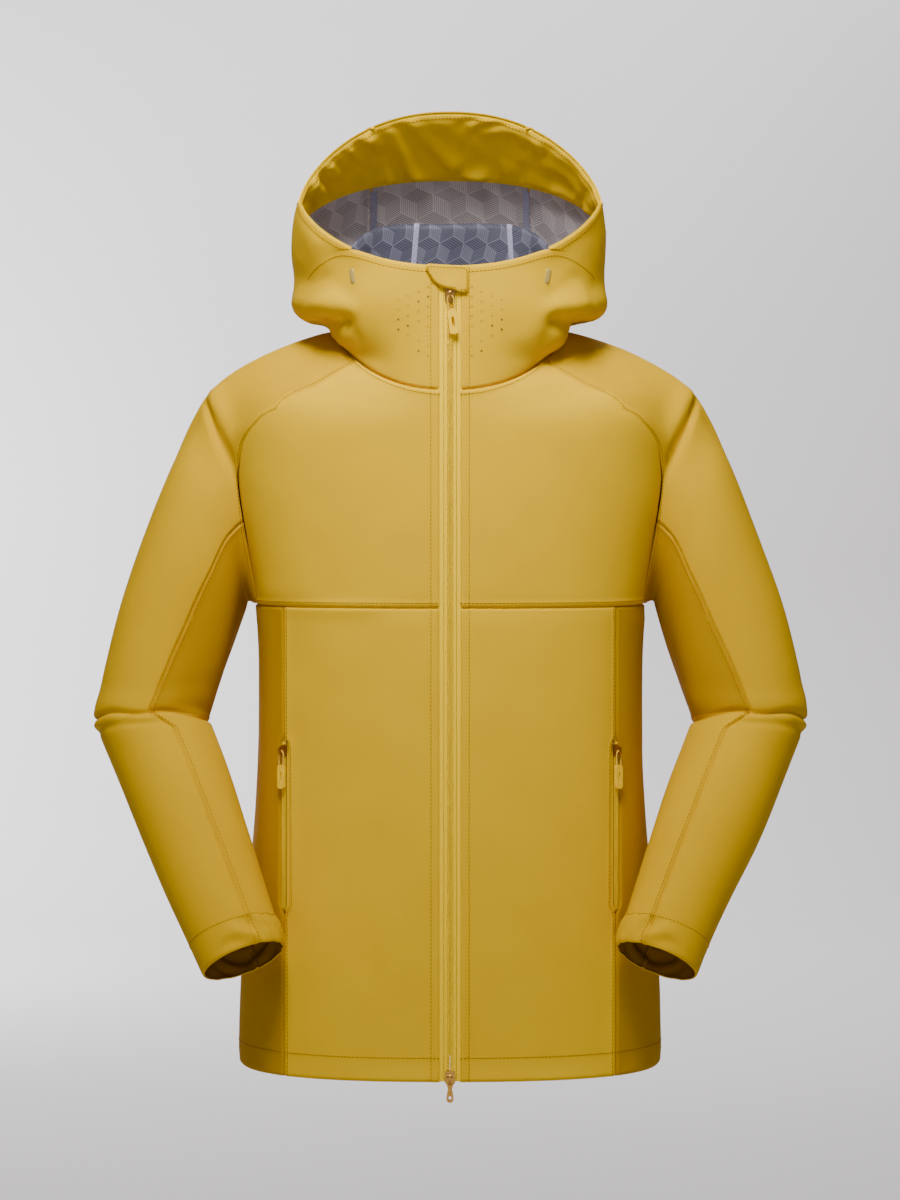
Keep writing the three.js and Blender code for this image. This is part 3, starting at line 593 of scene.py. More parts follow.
# Displaces a bare grid along its normals for its seams and folds, and makes its shell.
def finishPanel(name, grid, thickness, outside, inside, edges, shape=None, wraps=False,
                easing=16.0):
    away = distances(grid)
    height = np.zeros(grid.shape[:2])
    for side, kind in edges.items():
        height = height + edgeProfile(kind, away[side])
    if shape is not None:
        sewn = [away[side] for side, kind in edges.items() if kind != "open"]
        ease = np.prod([smoothstep(d, 0.5, easing) for d in sewn], axis=0) if sewn else 1.0
        height = height + shape(grid, away) * ease
    n = normalsOf(grid, wraps)
    grid = grid + n * height[..., None]
    n = normalsOf(grid, wraps)
    cloth = np.stack([away["left"] - away["left"][:, -1:] / 2, away["bottom"], 0 * height], -1)
    made = shell(name, grid, thickness, outside, inside, cloth, wraps)
    panels[name] = {"object": made, "grid": grid, "normals": n, "away": away}
    return made


# Soft unevenness of cloth that hangs under its own weight.
def fabricFall(scale, size):
    def fall(grid, away):
        stretched = grid * np.array([1.0, 1.0, 0.55])
        broad = softNoise(stretched, size) * scale
        fine = softNoise(grid + 50, size * 0.3) * scale * 0.16
        return broad + fine

    return fall


# A part of the trunk between two angle curves, with closer rows and columns at its seams.
def trunkGrid(fromAngle, toAngle, fromV, toV, cell, close=True):
    v = np.linspace(fromV, toV, 200)
    middle = onRing(trunkRings, (fromAngle(v) + toAngle(v)) / 2, v)
    tall = arcLengths(middle, 0)[-1]
    length = np.linalg.norm(
        onRing(trunkRings, fromAngle(v[60]), v[60]) - onRing(trunkRings, toAngle(v[60]), v[60])
    )
    rows = np.interp(spread(tall, cell, close) * tall, arcLengths(middle, 0), v)
    across = spread(max(length, 60) * 1.1, cell, close)
    low = fromAngle(rows)[:, None]
    high = toAngle(rows)[:, None]
    fine = np.linspace(0, 1, 400)
    dense = onRing(trunkRings, low + (high - low) * fine[None, :], rows[:, None])
    arcs = arcLengths(dense, 1)
    grid = np.zeros((len(rows), len(across), 3))
    for i in range(len(rows)):
        share = np.interp(across * arcs[i, -1], arcs[i], fine)
        angle = low[i] + (high[i] - low[i]) * share
        grid[i] = onRing(trunkRings, angle, rows[i])
    return grid


def zipAngle(v):
    return angleAtX(trunkRings, v, zipEdgeX)


# The seam that holds the pocket zip, opening into a slit along the zip.
def pocketAngle(side):
    def at(v):
        z = np.interp(v, levelTable, levelHeights)
        slit = 4.6 * smoothstep(z, -546, -538) * (1 - smoothstep(z, -385, -377))
        degrees = np.degrees(slit / ringsAt(trunkRings, v)[..., 0]) * 1.6
        return angleAtX(trunkRings, v, 159.0) + side * degrees

    return at


def sideSeam(v):
    return 88.0 + 0 * v


def mirrorX(grid):
    return (grid * np.array([-1.0, 1, 1]))[:, ::-1]


# Makes the wearer's left piece, and the right one as its mirror with its own creases.
def eachSide(name, grid, edges, **options):
    swap = {"left": "right", "right": "left", "top": "top", "bottom": "bottom"}
    finishPanel(f"{name}Left", grid, edges=edges, **options)
    turned = {swap[side]: kind for side, kind in edges.items()}
    finishPanel(f"{name}Right", mirrorX(grid), edges=turned, **options)


cloth = {"thickness": 1.1, "outside": shellYellow, "inside": liningPrint}

# Pulls the hood's weight puts in the cloth round the collar, and the flatter cloth by the zip.
yokeFall = fabricFall(1.1, 85)
lowerFall = fabricFall(1.5, 120)

yoke = trunkGrid(zipAngle, raglan, yokeLevel, 8.0, 4.6)
eachSide("frontYoke", yoke, {"left": "welt", "right": "groove", "bottom": "welt", "top": "welt"},
         shape=yokeFall, **cloth)
lower = trunkGrid(zipAngle, pocketAngle(-1), 0.0, yokeLevel, 5.0)
eachSide("frontLower", lower, {"left": "welt", "right": "welt", "top": "groove", "bottom": "rolled"},
         shape=lowerFall, **cloth)
flank = trunkGrid(pocketAngle(1), sideSeam, 0.0, yokeLevel, 5.0)
# The side panels take the darker shell cloth as painted shade.
eachSide("sideFront", flank, {"left": "groove", "right": "groove", "top": "groove", "bottom": "rolled"},
         shape=lowerFall, **{**cloth, "outside": shellShade})
backAngle = lambda v: 360 - sideSeam(v)
finishPanel("backLower", trunkGrid(sideSeam, backAngle, 0.0, yokeLevel, 6.0), edges={
    "left": "groove", "right": "groove", "top": "groove", "bottom": "rolled"}, shape=lowerFall, **cloth)
yokeBack = trunkGrid(lambda v: 180 - raglan(v), lambda v: 180 + raglan(v), yokeLevel, 8.0, 6.0)
finishPanel("backYoke", yokeBack, edges={
    "left": "groove", "right": "groove", "bottom": "welt", "top": "groove"}, shape=yokeFall, **cloth)
print("trunk made")


armholeLevels = np.array([yokeLevel, 4.5, 5, 5.3, 5.6, 6, 6.5, 7, 7.5, 8])
armholeTurns = np.array([152, 118, 90, 74, 62, 50, 42, 35, 28, 21.0])


# Where the sleeve's column at this turn is sewn to the trunk; 0 is the top, 180 the armpit.
def sewnPoint(degrees):
    degrees = np.mod(np.asarray(degrees, float), 360)
    half = np.where(degrees <= 180, degrees, 360 - degrees)
    v = np.interp(half, armholeTurns[::-1], armholeLevels[::-1])
    angle = raglan(v)
    angle = np.where(half < 21, 90 - (90 - raglan(8.0)) * smoothstep(half / 21) ** 0.6, angle)
    angle = np.where(half > 152, 78 + 12 * (half - 152) / 28, angle)
    return onRing(trunkRings, np.where(degrees <= 180, angle, 180 - angle), v)


def frontSeam(t):
    return np.interp(t, [-1, 0, 0.5, 0.75, 1], [0.31, 0.305, 0.305, 0.293, 0.262])


def backSeam(t):
    return np.interp(t, [-1, 0, 1], [-0.43, -0.4, -0.3])


# Marks round a tube, as (strip, share) with strip 0 between back and front seam and 1 below.
def columnShares(outer, under):
    first = [(0, s) for s in spread(outer, 5.0)[:-1]]
    second = [(1, s) for s in spread(under, 5.0)[:-1]]
    return first + second


def columnTurns(columns, t, front, back):
    t = np.asarray(t, float)
    turns = np.zeros((len(t), len(columns)))
    for j, (strip, share) in enumerate(columns):
        if strip == 0:
            turns[:, j] = back(t) + (front(t) - back(t)) * share
        else:
            turns[:, j] = front(t) + (back(t) + 1 - front(t)) * share
    return turns


upperColumns = columnShares(235, 120)


# From the trunk's seam to just past the elbow, rows running from the elbow up.
def upperArm():
    spans = [np.linspace(-1, 0, 26)[:-1], np.linspace(0, 0.94, 78)[:-1], np.linspace(0.94, 1, 12)]
    rows = np.concatenate(spans)
    turns = columnTurns(upperColumns, rows, frontSeam, backSeam)
    grid = np.zeros((*turns.shape, 3))
    below = rows >= 0
    grid[below] = upperSleeve(turns[below], rows[below][:, None])
    # Above the armhole each column runs on to the seam on the trunk.
    atArmhole = turns[rows == 0][0]
    degrees = np.mod(atArmhole * 360, 360)
    sewn = sewnPoint(degrees)
    free = upperSleeve(atArmhole, 0.0)
    for i in np.nonzero(~below)[0]:
        w = -rows[i]
        lift = 5 * math.sin(math.pi * w) * np.clip(np.cos(np.radians(degrees)), 0, 1)
        grid[i] = free + (sewn - free) * w
        grid[i, :, 2] += lift
    near = hill(rows, 0.0, 0.2)
    mask = near[:, None] * np.ones(turns.shape[1])[None, :]
    grid = soften(grid, 60, mask)
    return grid[::-1], rows[::-1]


# Distance along each row from the column where a strip starts.
def distanceToTurn(grid, columns, start):
    closed = np.concatenate([grid, grid[:, :1]], 1)
    arcs = arcLengths(closed, 1)
    at = next(j for j, (strip, _) in enumerate(columns) if strip == start)
    total = arcs[:, -1:]
    away = np.abs(arcs[:, :-1] - arcs[:, at : at + 1])
    signed = arcs[:, :-1] - arcs[:, at : at + 1]
    signed = np.where(signed > total / 2, signed - total, signed)
    signed = np.where(signed < -total / 2, signed + total, signed)
    return np.minimum(away, total - away), signed


# A seam that runs across a surface: a groove with a raised, stitched welt on one side.
def seamHeight(signed, weltSide):
    groove = -2.3 * np.exp(-((signed / 1.15) ** 2))
    d = signed * weltSide
    return groove + 0.5 * smoothstep(d, 0.6, 2.2) * (1 - smoothstep(d, 5.2, 6.6))


# Closeness of each point to the line from a to b, seen along the remaining axis.
def segmentPull(grid, a, b, width, axes=(0, 2)):
    p = grid[..., list(axes)]
    a, b = np.array(a, float), np.array(b, float)
    t = np.clip(((p - a) @ (b - a)) / ((b - a) @ (b - a)), 0, 1)
    off = np.linalg.norm(p - (a + t[..., None] * (b - a)), axis=-1)
    return np.exp(-((off / width) ** 2)), t


def upperArmShape(side):
    def shape(grid, away, rows):
        folds = softNoise(grid * np.array([side, 1, 0.4]) + 40 * side, 75) * 1.6
        flat = grid * np.array([side, 1, 1])
        front = smoothstep(-grid[..., 1], -4, 10)
        # The crease under the shoulder, where the sleeve turns down from the shoulder's top.
        crease, along = segmentPull(flat, (243, -52), (205, -128), 4.2)
        swell, _ = segmentPull(flat, (233, -46), (196, -120), 9.0)
        hollow, _ = segmentPull(flat, (256, -66), (222, -148), 22.0)
        fade = np.sin(np.pi * np.clip(along * 0.85 + 0.12, 0, 1)) ** 0.6
        height = folds + front * fade * (4.5 * swell - 7.5 * crease - 6.0 * hollow)
        # The armpit's slack cloth gathers into a few long folds that run down the inner arm.
        inner = smoothstep(-(flat[..., 0] - 262 + 0.35 * (flat[..., 2] + 250)), -14, 40)
        ripple = np.sin(flat[..., 1] * 0.11 + flat[..., 2] * 0.022 + side * 0.8)
        height = height + 1.8 * ripple * inner * hill(flat[..., 2], -285, 90)
        # Bending the elbow pushes the cloth up into short folds above the crease.
        drop = flat[..., 2] + 366
        waves = np.sin(drop * 0.17 + softNoise(grid, 60) * 1.6 + flat[..., 0] * 0.015)
        height = height + 0.5 * waves * hill(drop, 22, 20) * smoothstep(-grid[..., 1], -30, 30)
        return height * smoothstep(away["top"], 1, 20)

    return shape


def forearmShape(side):
    def shape(grid, away, rows):
        flat = grid * np.array([side, 1, 1])
        down = (rows * forearmLength)[:, None] + 0 * flat[..., 0]
        folds = softNoise(grid * 0.8 + 90 * side, 70) * 1.3
        height = folds
        # The crease that runs round the elbow, deepest at the front, with small rolls below it.
        front = smoothstep(-flat[..., 1], -10, 30)
        rolls = 0.6 + 0.7 * softNoise(flat * 1.4, 26)
        outerHalf = smoothstep(flat[..., 0], 268, 290)
        height = height + 1.9 * hill(down, 9, 3.6) * front * rolls * outerHalf
        height = height - 1.2 * hill(down, 15, 4) * front * outerHalf
        # The elastic draws the cuff's lower edge up into gathers.
        lower = smoothstep(-(flat[..., 0] - 215 + 0.25 * (flat[..., 2] + 560)), -8, 16)
        gather = np.sin(flat[..., 1] * 0.55 + 0.7 * softNoise(flat, 14))
        depth = smoothstep(down, forearmLength * 0.86, forearmLength * 0.92)
        calm = 1 - 0.75 * smoothstep(down, 0.965 * forearmLength, forearmLength)
        height = height + (2.6 * gather + 1.2) * depth * lower * calm
        return height * smoothstep(away["top"], 0, 14)

    return shape


def tubeCloth(grid):
    closed = np.concatenate([grid, grid[:, :1]], 1)
    arcs = arcLengths(closed, 1)[:, :-1]
    return np.stack([arcs, arcLengths(grid, 0), 0 * arcs], -1)


# The bent arm as two long grids, upper and lower, that meet at the elbow.
def sleeveGrids():
    grid, rows = upperArm()
    lowRows = np.concatenate([np.linspace(0.007, 0.09, 15)[:-1], np.linspace(0.09, 1, 84), [1.004]])
    backLow = lambda t: -0.3 + 0 * t
    frontLow = lambda t: np.interp(t, [0, 0.02, 0.075, 1], [0.262, 0.266, 0.308, 0.31])
    turns = columnTurns(upperColumns, lowRows, frontLow, backLow)
    low = forearm(turns, lowRows[:, None])
    whole = np.concatenate([low[::-1], grid], 0)
    place = np.concatenate([1 + lowRows[::-1], rows])
    # The elbow stays a clear corner at the front but rounds off behind.
    back = smoothstep(whole[..., 1], -60, 10)
    whole = soften(whole, 14, hill(place, 1.0, 0.03)[:, None] * (0.15 + 0.85 * back))
    return whole, place


def makeSleeves():
    for side, word in ((1, "Left"), (-1, "Right")):
        whole, place = sleeveGrids()
        columns = list(upperColumns)
        flip = np.array([side, 1.0, 1.0])
        away = distances(whole)
        shapes = upperArmShape(side)(whole * flip, away, place)
        lowShape = forearmShape(side)(whole * flip, away, np.clip(place - 1, 0, 1))
        mix = smoothstep(place, 0.97, 1.03)[:, None]
        height = shapes * (1 - mix) + lowShape * mix
        _, frontSigned = distanceToTurn(whole, columns, 1)
        _, backSigned = distanceToTurn(whole, columns, 0)
        height = height + seamHeight(frontSigned, 1) + seamHeight(backSigned, -1)
        # The crease across the elbow, then the seam at the top and the turned edge at the cuff.
        elbowLine = np.where(place > 0.9, (place - 1) * forearmLength, -400)[:, None]
        front = smoothstep(-whole[..., 1], -40, 10)
        wander = 1.4 * np.sin(whole[..., 0] * 0.11)
        height = height - 4.2 * hill(elbowLine, 2 + wander, 2.2) * (0.25 + 0.75 * front)
        height = height + edgeProfile("groove", away["top"])
        height = height - 1.6 * np.clip(1 - away["bottom"] / 2.5, 0, 1) ** 2
        grid = whole - normalsOf(whole, True) * height[..., None]
        laid = tubeCloth(grid)
        n = -normalsOf(grid, True)
        if side > 0:
            grid, n, laid = grid[:, ::-1], n[:, ::-1], laid[:, ::-1]
        else:
            grid, n = grid * flip, n * flip
        split = int(np.argmin(np.abs(place - 0.7)))
        spans = {"upperArm": (split, len(place)), "lowerArm": (0, split + 1)}
        for part, (start, end) in spans.items():
            name = f"{part}{word}"
            # The sleeve's outside is the darker sleeve cloth and its inside the dark shell back, both painted
            # shade.
            made = shell(name, grid[start:end], 1.1, sleeveYellow, shellBack,
                         laid[start:end], True, n[start:end])
            panels[name] = {"object": made, "grid": grid[start:end], "normals": n[start:end]}
            # The strip under the upper arm takes the darker shade cloth, painted shade for the shadow under
            # the arm, as on the jacket's side panels.
            under = np.array([strip == 1 for strip, _ in columns])
            if side > 0:
                under = np.roll(under[::-1], -1)
            made.data.materials.append(shellShade)
            slots = np.zeros(len(made.data.polygons), int)
            made.data.polygons.foreach_get("material_index", slots)
            high = (place[start : end - 1] <= 1.0)[:, None] & under[None, :]
            slots[: high.size][high.ravel()] = 2
            made.data.polygons.foreach_set("material_index", slots)
        panels[f"sleeve{word}"] = {"grid": grid, "normals": n, "place": place, "side": side}


makeSleeves()
print("sleeves made")


# Where the tilting crown leaves the collar, counted in the hood's outlines.
def crownLine(degrees):
    away = np.minimum(degrees, 360 - degrees)
    return 5 - 3.7 * smoothstep((away - 30) / 70)


# A part of the hood between two angle curves of v and two level curves of the angle.
def hoodGrid(fromAngle, toAngle, fromV, toV, cell, close=True):
    middle = (fromAngle + toAngle) / 2
    line = onRing(hoodRings, middle, np.linspace(fromV(middle), toV(middle), 60))
    tall = arcLengths(line[:, None], 0)[-1, 0]
    ends = np.linspace(fromAngle, toAngle, 60)
    wide = arcLengths(onRing(hoodRings, ends, (fromV(middle) + toV(middle)) / 2)[None], 1)[0, -1]
    rows, across = spread(max(tall, 30), cell, close), spread(wide, cell, close)
    dense = np.linspace(0, 1, 600)
    angles = fromAngle + (toAngle - fromAngle) * dense
    reach = onRing(hoodRings, angles, (fromV(angles) + toV(angles)) / 2)
    shares = np.interp(across, arcLengths(reach[None], 1)[0] / arcLengths(reach[None], 1)[0, -1], dense)
    angle = (fromAngle + (toAngle - fromAngle) * shares)[None, :]
    low, high = fromV(angle), toV(angle)
    return onRing(hoodRings, angle, low + (high - low) * rows[:, None])


# The hood's soft bulges, its overhang above the collar, and the pull of its seams.
def hoodFolds(grid, away):
    y, z = grid[..., 1], grid[..., 2]
    reach = np.abs(grid[..., 0])
    flat = np.stack([reach, y, z], -1)
    front = smoothstep(-y, -30, 60)
    calm = smoothstep(reach, 14, 80)
    height = softNoise(grid * np.array([1, 0.8, 1.0]) + 10, 58) * 2.2 * calm
    height = height + softNoise(grid + 70, 22) * 0.6 * calm
    # The collar swells forward below the lip, and dips above the seam at the neck.
    height = height + 5.0 * hill(z, 34, 26) * smoothstep(reach, 9, 60) * (1 - smoothstep(reach, 95, 128))
    height = height - 2.5 * hill(z + 0.1 * reach, -6, 14) * smoothstep(reach, 30, 84)
    # The side of the hood sags over the collar and folds under itself.
    outside = smoothstep(reach, 92, 122) * smoothstep(-y, -95, -20)
    height = height + 7.0 * hill(z, 36, 15) * outside - 9.0 * hill(z, 9, 10) * outside
    # Where the sag ends, the cloth pinches in a short deep fold and a roll runs up from it.
    pinch, _ = segmentPull(flat, (128, 14), (98, 18), 6.5)
    pinchUp, _ = segmentPull(flat, (98, 18), (90, 2), 7.0)
    roll, _ = segmentPull(flat, (124, 34), (92, 28), 8.5)
    second, _ = segmentPull(flat, (118, 58), (96, 44), 6.5)
    height = height - front * (5.5 * pinch + 3.0 * pinchUp - 3.6 * roll + 1.8 * second)
    # Drag lines fan out from the pinch towards the face opening.
    fan = np.arctan2(z - 10, reach - 80)
    rays = np.sin(fan * 9.0 + 1.2 * softNoise(grid, 30))
    height = height + 1.0 * rays * front * hill(reach, 118, 26) * hill(z, 62, 34)
    return height


# The face opening's edge, turned over along the part of the collar that is free.
def lipRoll(grid, away):
    free = 1 - smoothstep(np.abs(grid[..., 0]), 90, 100)
    return hoodFolds(grid, away) + edgeProfile("rolled", away["top"]) * free


def rimV(angle):
    return 5.0 + 0 * angle


hoodCloth = {"thickness": 1.1, "outside": shellYellow, "inside": liningPrint}
zipHoodAngle = float(angleAtX(hoodRings, np.array(0.0), zipEdgeX))
collarTop = lambda angle: crownLine(angle) + 0 * angle
collarLow = lambda angle: 0 * angle

# The collar's front edge runs straight up beside the zip, though the outline widens behind it.
collar = hoodGrid(zipHoodAngle, 64.0, collarLow, collarTop, 4.0)
collar[..., 0] = collar[..., 0] + (zipEdgeX - collar[:, :1, 0]) * (
    1 - smoothstep(collar[..., 0] - collar[:, :1, 0], 0, 50))
eachSide("collarFront", collar, {"left": "welt", "right": "open", "bottom": "groove", "top": "open"},
         shape=lipRoll, **hoodCloth)
around = hoodGrid(64.0, 296.0, collarLow, collarTop, 5.0)
finishPanel("collarBack", around, edges={
    "left": "open", "right": "open", "bottom": "groove", "top": "open"}, shape=hoodFolds, **hoodCloth)
sideGrid = hoodGrid(38.0, 150.0, collarTop, rimV, 4.0)
eachSide("hoodSide", sideGrid, {"left": "open", "right": "welt", "bottom": "open", "top": "rolled"},
         shape=hoodFolds, **hoodCloth)
centre = hoodGrid(150.0, 210.0, collarTop, rimV, 4.5)
finishPanel("hoodCentre", centre, edges={
    "left": "groove", "right": "groove", "bottom": "open", "top": "rolled"}, shape=hoodFolds, **hoodCloth)

hoodPieces = ["collarFrontLeft", "collarFrontRight", "collarBack"]
hoodPieces += ["hoodSideLeft", "hoodSideRight", "hoodCentre"]


# Facing that was sewn slack under the brim: diagonal drag lines and a puffed edge.
def brimFolds(grid, away):
    x, z = grid[..., 0], grid[..., 2]
    slant = np.sin(0.13 * x + 0.2 * z + 1.7 * softNoise(grid, 40))
    across = np.sin(0.17 * np.abs(x) - 0.13 * z + 1.9 * softNoise(grid + 30, 34))
    height = 2.4 * slant * softNoise(grid + 5, 42) + 2.0 * across * softNoise(grid - 20, 36)
    return np.maximum(height, -1.4) + 2.8


# A grid that lies against the inner face of the hood, drawn facing inwards.
def insideOf(angleLow, angleHigh, lowV, highV, depth, cell):
    grid = hoodGrid(angleLow, angleHigh, lowV, highV, cell)
    n = normalsOf(grid)
    return (grid - n * depth)[:, ::-1]


def brimLow(angle):
    away = np.abs(angle - 180)
    return 3.95 + 0.12 * smoothstep(away / 80) + 0 * angle


def brimHigh(angle):
    return 4.965 + 0 * angle


facing = insideOf(84.0, 276.0, brimLow, brimHigh, 3.4, 3.2)
# The facing is coloured brighter than the shell, as painted light inside the hood.
finishPanel("brimFacing", facing, 0.9, brimYellow, brimYellow, {
    "left": "rolled", "right": "rolled", "top": "welt", "bottom": "rolled"}, shape=brimFolds, easing=11.0)
print("hood made")


# The stand of lining that rises inside the hood behind the neck, its top edge rolled over.
def standGrid():
    share = np.linspace(1, -1, 110)[None, :]
    base = onRing(hoodRings, 180 - share * 62, 0.3)
    base = base * np.array([0.9, 1, 1]) - np.array([0, 9.0, 0])
    top = np.stack([101 * share, 78 - 38 * share**4, 118.5 - 30 * np.abs(share) ** 5.5], -1)
    w = np.concatenate([np.linspace(0, 1, 34), np.ones(12)])[:, None, None]
    grid = base + (top - base) * w
    turn = np.linspace(0, math.pi, 13)[1:]
    for k, angle in enumerate(turn):
        grid[34 + k, :, 1] += 5.5 * (1 - math.cos(angle))
        grid[34 + k, :, 2] += 5.5 * math.sin(angle)
    return grid


stand = standGrid()
sag = softNoise(stand * np.array([1, 1, 0.6]) + 15, 46) * 1.8
stand = stand + sag[..., None] * np.array([0, 1.0, 0.25])
fallingFold = sum(segmentPull(stand, (s * 88, 100), (s * 104, 62), 7.0)[0] for s in (1, -1))
stand = stand - np.stack([0 * fallingFold, fallingFold * 3.0, 0 * fallingFold], -1)
standAway = distances(stand)
standCloth = np.stack([standAway["left"], standAway["bottom"], 0 * standAway["left"]], -1)
shell("neckStand", stand, 0.9, standPrint, standPrint, standCloth)
panels["neckStand"] = {"object": bpy.data.objects["neckStand"], "grid": stand,
                       "normals": normalsOf(stand), "away": standAway}


# A ribbon laid along a line of points, facing along the normals.
def strip(name, middle, normals, halfWidth, thickness, made, crown=0.25):
    middle, normals = np.asarray(middle, float), np.asarray(normals, float)
    ahead = np.gradient(middle, axis=0)
    ahead /= np.maximum(np.linalg.norm(ahead, axis=-1, keepdims=True), 1e-9)
    side = np.cross(ahead, normals)
    side /= np.maximum(np.linalg.norm(side, axis=-1, keepdims=True), 1e-9)
    across = np.linspace(-1, 1, 7)
    lift = thickness + crown * (1 - across**2)
    grid = middle[:, None] + side[:, None] * (across * halfWidth)[None, :, None]
    grid = grid + normals[:, None] * lift[None, :, None]
    return shell(name, grid, thickness, made, made, np.stack(
        [arcLengths(grid, 1), arcLengths(grid, 0), 0 * grid[..., 0]], -1))


# Bilinear place and direction at fractional rows and columns of a panel's grid.
def gridPoint(panel, row, column):
    row, column = np.asarray(row, float), np.asarray(column, float)
    grid, normals = panel["grid"], panel["normals"]
    r = np.clip(np.floor(row).astype(int), 0, grid.shape[0] - 2)
    c = np.clip(np.floor(column).astype(int), 0, grid.shape[1] - 2)
    fr, fc = (row - r)[..., None], (column - c)[..., None]

    def mix(a):
        low = a[r, c] * (1 - fc) + a[r, c + 1] * fc
        high = a[r + 1, c] * (1 - fc) + a[r + 1, c + 1] * fc
        return low * (1 - fr) + high * fr

    n = mix(normals)
    return mix(grid), n / np.linalg.norm(n, axis=-1, keepdims=True)


# Seam allowances inside the neck and the raglan seams.
angles = np.linspace(2.2, 357.8, 220)
neckLine = onRing(hoodRings, angles, 0.02)
ahead = np.gradient(neckLine, axis=0)
away = np.cross(ahead, np.array([0, 0, 1.0]))
away /= np.linalg.norm(away, axis=-1, keepdims=True)
strip("neckAllowance", neckLine - away * 3.2, away, 7.0, 0.5, shellYellow)
for side, word in ((1, "Left"), (-1, "Right")):
    v = np.concatenate([np.linspace(yokeLevel, 8, 90), np.linspace(8, yokeLevel, 90)])
    degrees = np.concatenate([raglan(v[:90]), 180 - raglan(v[90:])])
    seam = onRing(trunkRings, degrees, v)
    n = onRing(trunkRings, degrees + 2, v) - onRing(trunkRings, degrees - 2, v)
    up = onRing(trunkRings, degrees, v + 0.02) - onRing(trunkRings, degrees, v - 0.02)
    n = np.cross(n, up)
    n /= np.linalg.norm(n, axis=-1, keepdims=True)
    for part, span in (("Front", slice(0, 90)), ("Back", slice(90, 180))):
        flip = np.array([side, 1.0, 1.0])
        strip(f"raglanAllowance{part}{word}", (seam[span] - n[span] * 2.6) * flip, n[span] * flip, 6.0, 0.5,
              shellYellow)

# Tapes that seal the hood's lining seams, running from the nape over the crown.
for index, angle in enumerate((151.0, 209.0)):
    v = np.linspace(1.6, 3.95, 60)
    line = onRing(hoodRings, angle, v)
    step = onRing(hoodRings, angle + 1, v) - line
    n = -np.cross(step, np.gradient(line, axis=0))
    n /= np.linalg.norm(n, axis=-1, keepdims=True)
    word = "Left" if index == 0 else "Right"
    strip(f"crownTape{word}", line + n * 4.2, n, 3.6, 0.3, seamTapeCloth)
for word, column in (("Left", 0.19), ("Right", 0.68)):
    rows = np.linspace(4, 44, 60)
    slant = (column + (0.018 if column < 0.5 else -0.018) * (rows - 4) / 40) * 109
    place, n = gridPoint(panels["neckStand"], rows, slant)
    strip(f"standTape{word}", place - n * 1.0, -n, 2.6, 0.3, seamTapeCloth)


# Points at an even distance from one edge of a panel.
def edgeLine(panel, side, inset, start=0.0, end=1.0):
    away = panel["away"][side]
    rows, columns = away.shape
    if side in ("left", "right"):
        order = 1 if side == "left" else -1
        at = [np.interp(inset, away[i][::order], np.arange(columns)) for i in range(rows)]
        at = np.array(at) if side == "left" else columns - 1 - np.array(at)
        place = np.arange(rows, dtype=float)
        keep = (place >= start * (rows - 1)) & (place <= end * (rows - 1))
        return gridPoint(panel, place[keep], at[keep])
    order = 1 if side == "bottom" else -1
    at = [np.interp(inset, away[::order, j], np.arange(rows)) for j in range(columns)]
    at = np.array(at) if side == "bottom" else rows - 1 - np.array(at)
    place = np.arange(columns, dtype=float)
    keep = (place >= start * (columns - 1)) & (place <= end * (columns - 1))
    return gridPoint(panel, at[keep], place[keep])


stitchPoints = {}
stitchLength = 2.7
stitchPitch = 3.7
seamInset = 4.6


# Lays separate stitches along a line, each sunk at both ends where the thread goes through.
def addStitches(group, line, normals, radius=0.36, lift=0.1, length=stitchLength, pitch=stitchPitch):
    line = np.asarray(line, float)
    arcs = np.concatenate([[0], np.cumsum(np.linalg.norm(np.diff(line, axis=0), axis=1))])
    keep = np.concatenate([[True], np.diff(arcs) > 1e-6])
    line, normals, arcs = line[keep], np.asarray(normals, float)[keep], arcs[keep]
    count = int((arcs[-1] - 2) / pitch)
    bucket = stitchPoints.setdefault(group, [[], [], 0])
    for k in range(count):
        at = 1 + (k + 0.5) * pitch + rng.normal(0, 0.06)
        ends = [at - length / 2, at + length / 2]
        sample = [np.array([np.interp(a, arcs, line[:, i]) for i in range(3)]) for a in (*ends, at)]
        n = np.array([np.interp(at, arcs, normals[:, i]) for i in range(3)])
        ahead = sample[1] - sample[0]
        ahead /= np.linalg.norm(ahead)
        side = np.cross(ahead, n)
        side /= np.linalg.norm(side)
        up = np.cross(side, ahead)
        points = []
        for share, wide, high in ((-0.5, 0.45, -0.28), (-0.3, 1.0, 0.8), (0.3, 1.0, 0.8), (0.5, 0.45, -0.28)):
            middle = sample[2] + ahead * length * share + up * (lift + radius * high * 0.5)
            for turn in range(5):
                angle = turn * 2 * math.pi / 5
                offset = side * math.cos(angle) + up * math.sin(angle) * 0.85
                points.append(middle + offset * radius * wide)
        base = bucket[2]
        faces = []
        for ring in range(3):
            for turn in range(5):
                a, b = base + ring * 5 + turn, base + ring * 5 + (turn + 1) % 5
                faces.append((a, b, b + 5, a + 5))
        faces.append(tuple(base + t for t in reversed(range(5))))
        faces.append(tuple(base + 15 + t for t in range(5)))
        bucket[0].extend(points)
        bucket[1].extend(faces)
        bucket[2] += 20


def makeStitches(group, made):
    points, faces, _ = stitchPoints[group]
    return meshPiece(group, np.array(points), faces, [made])


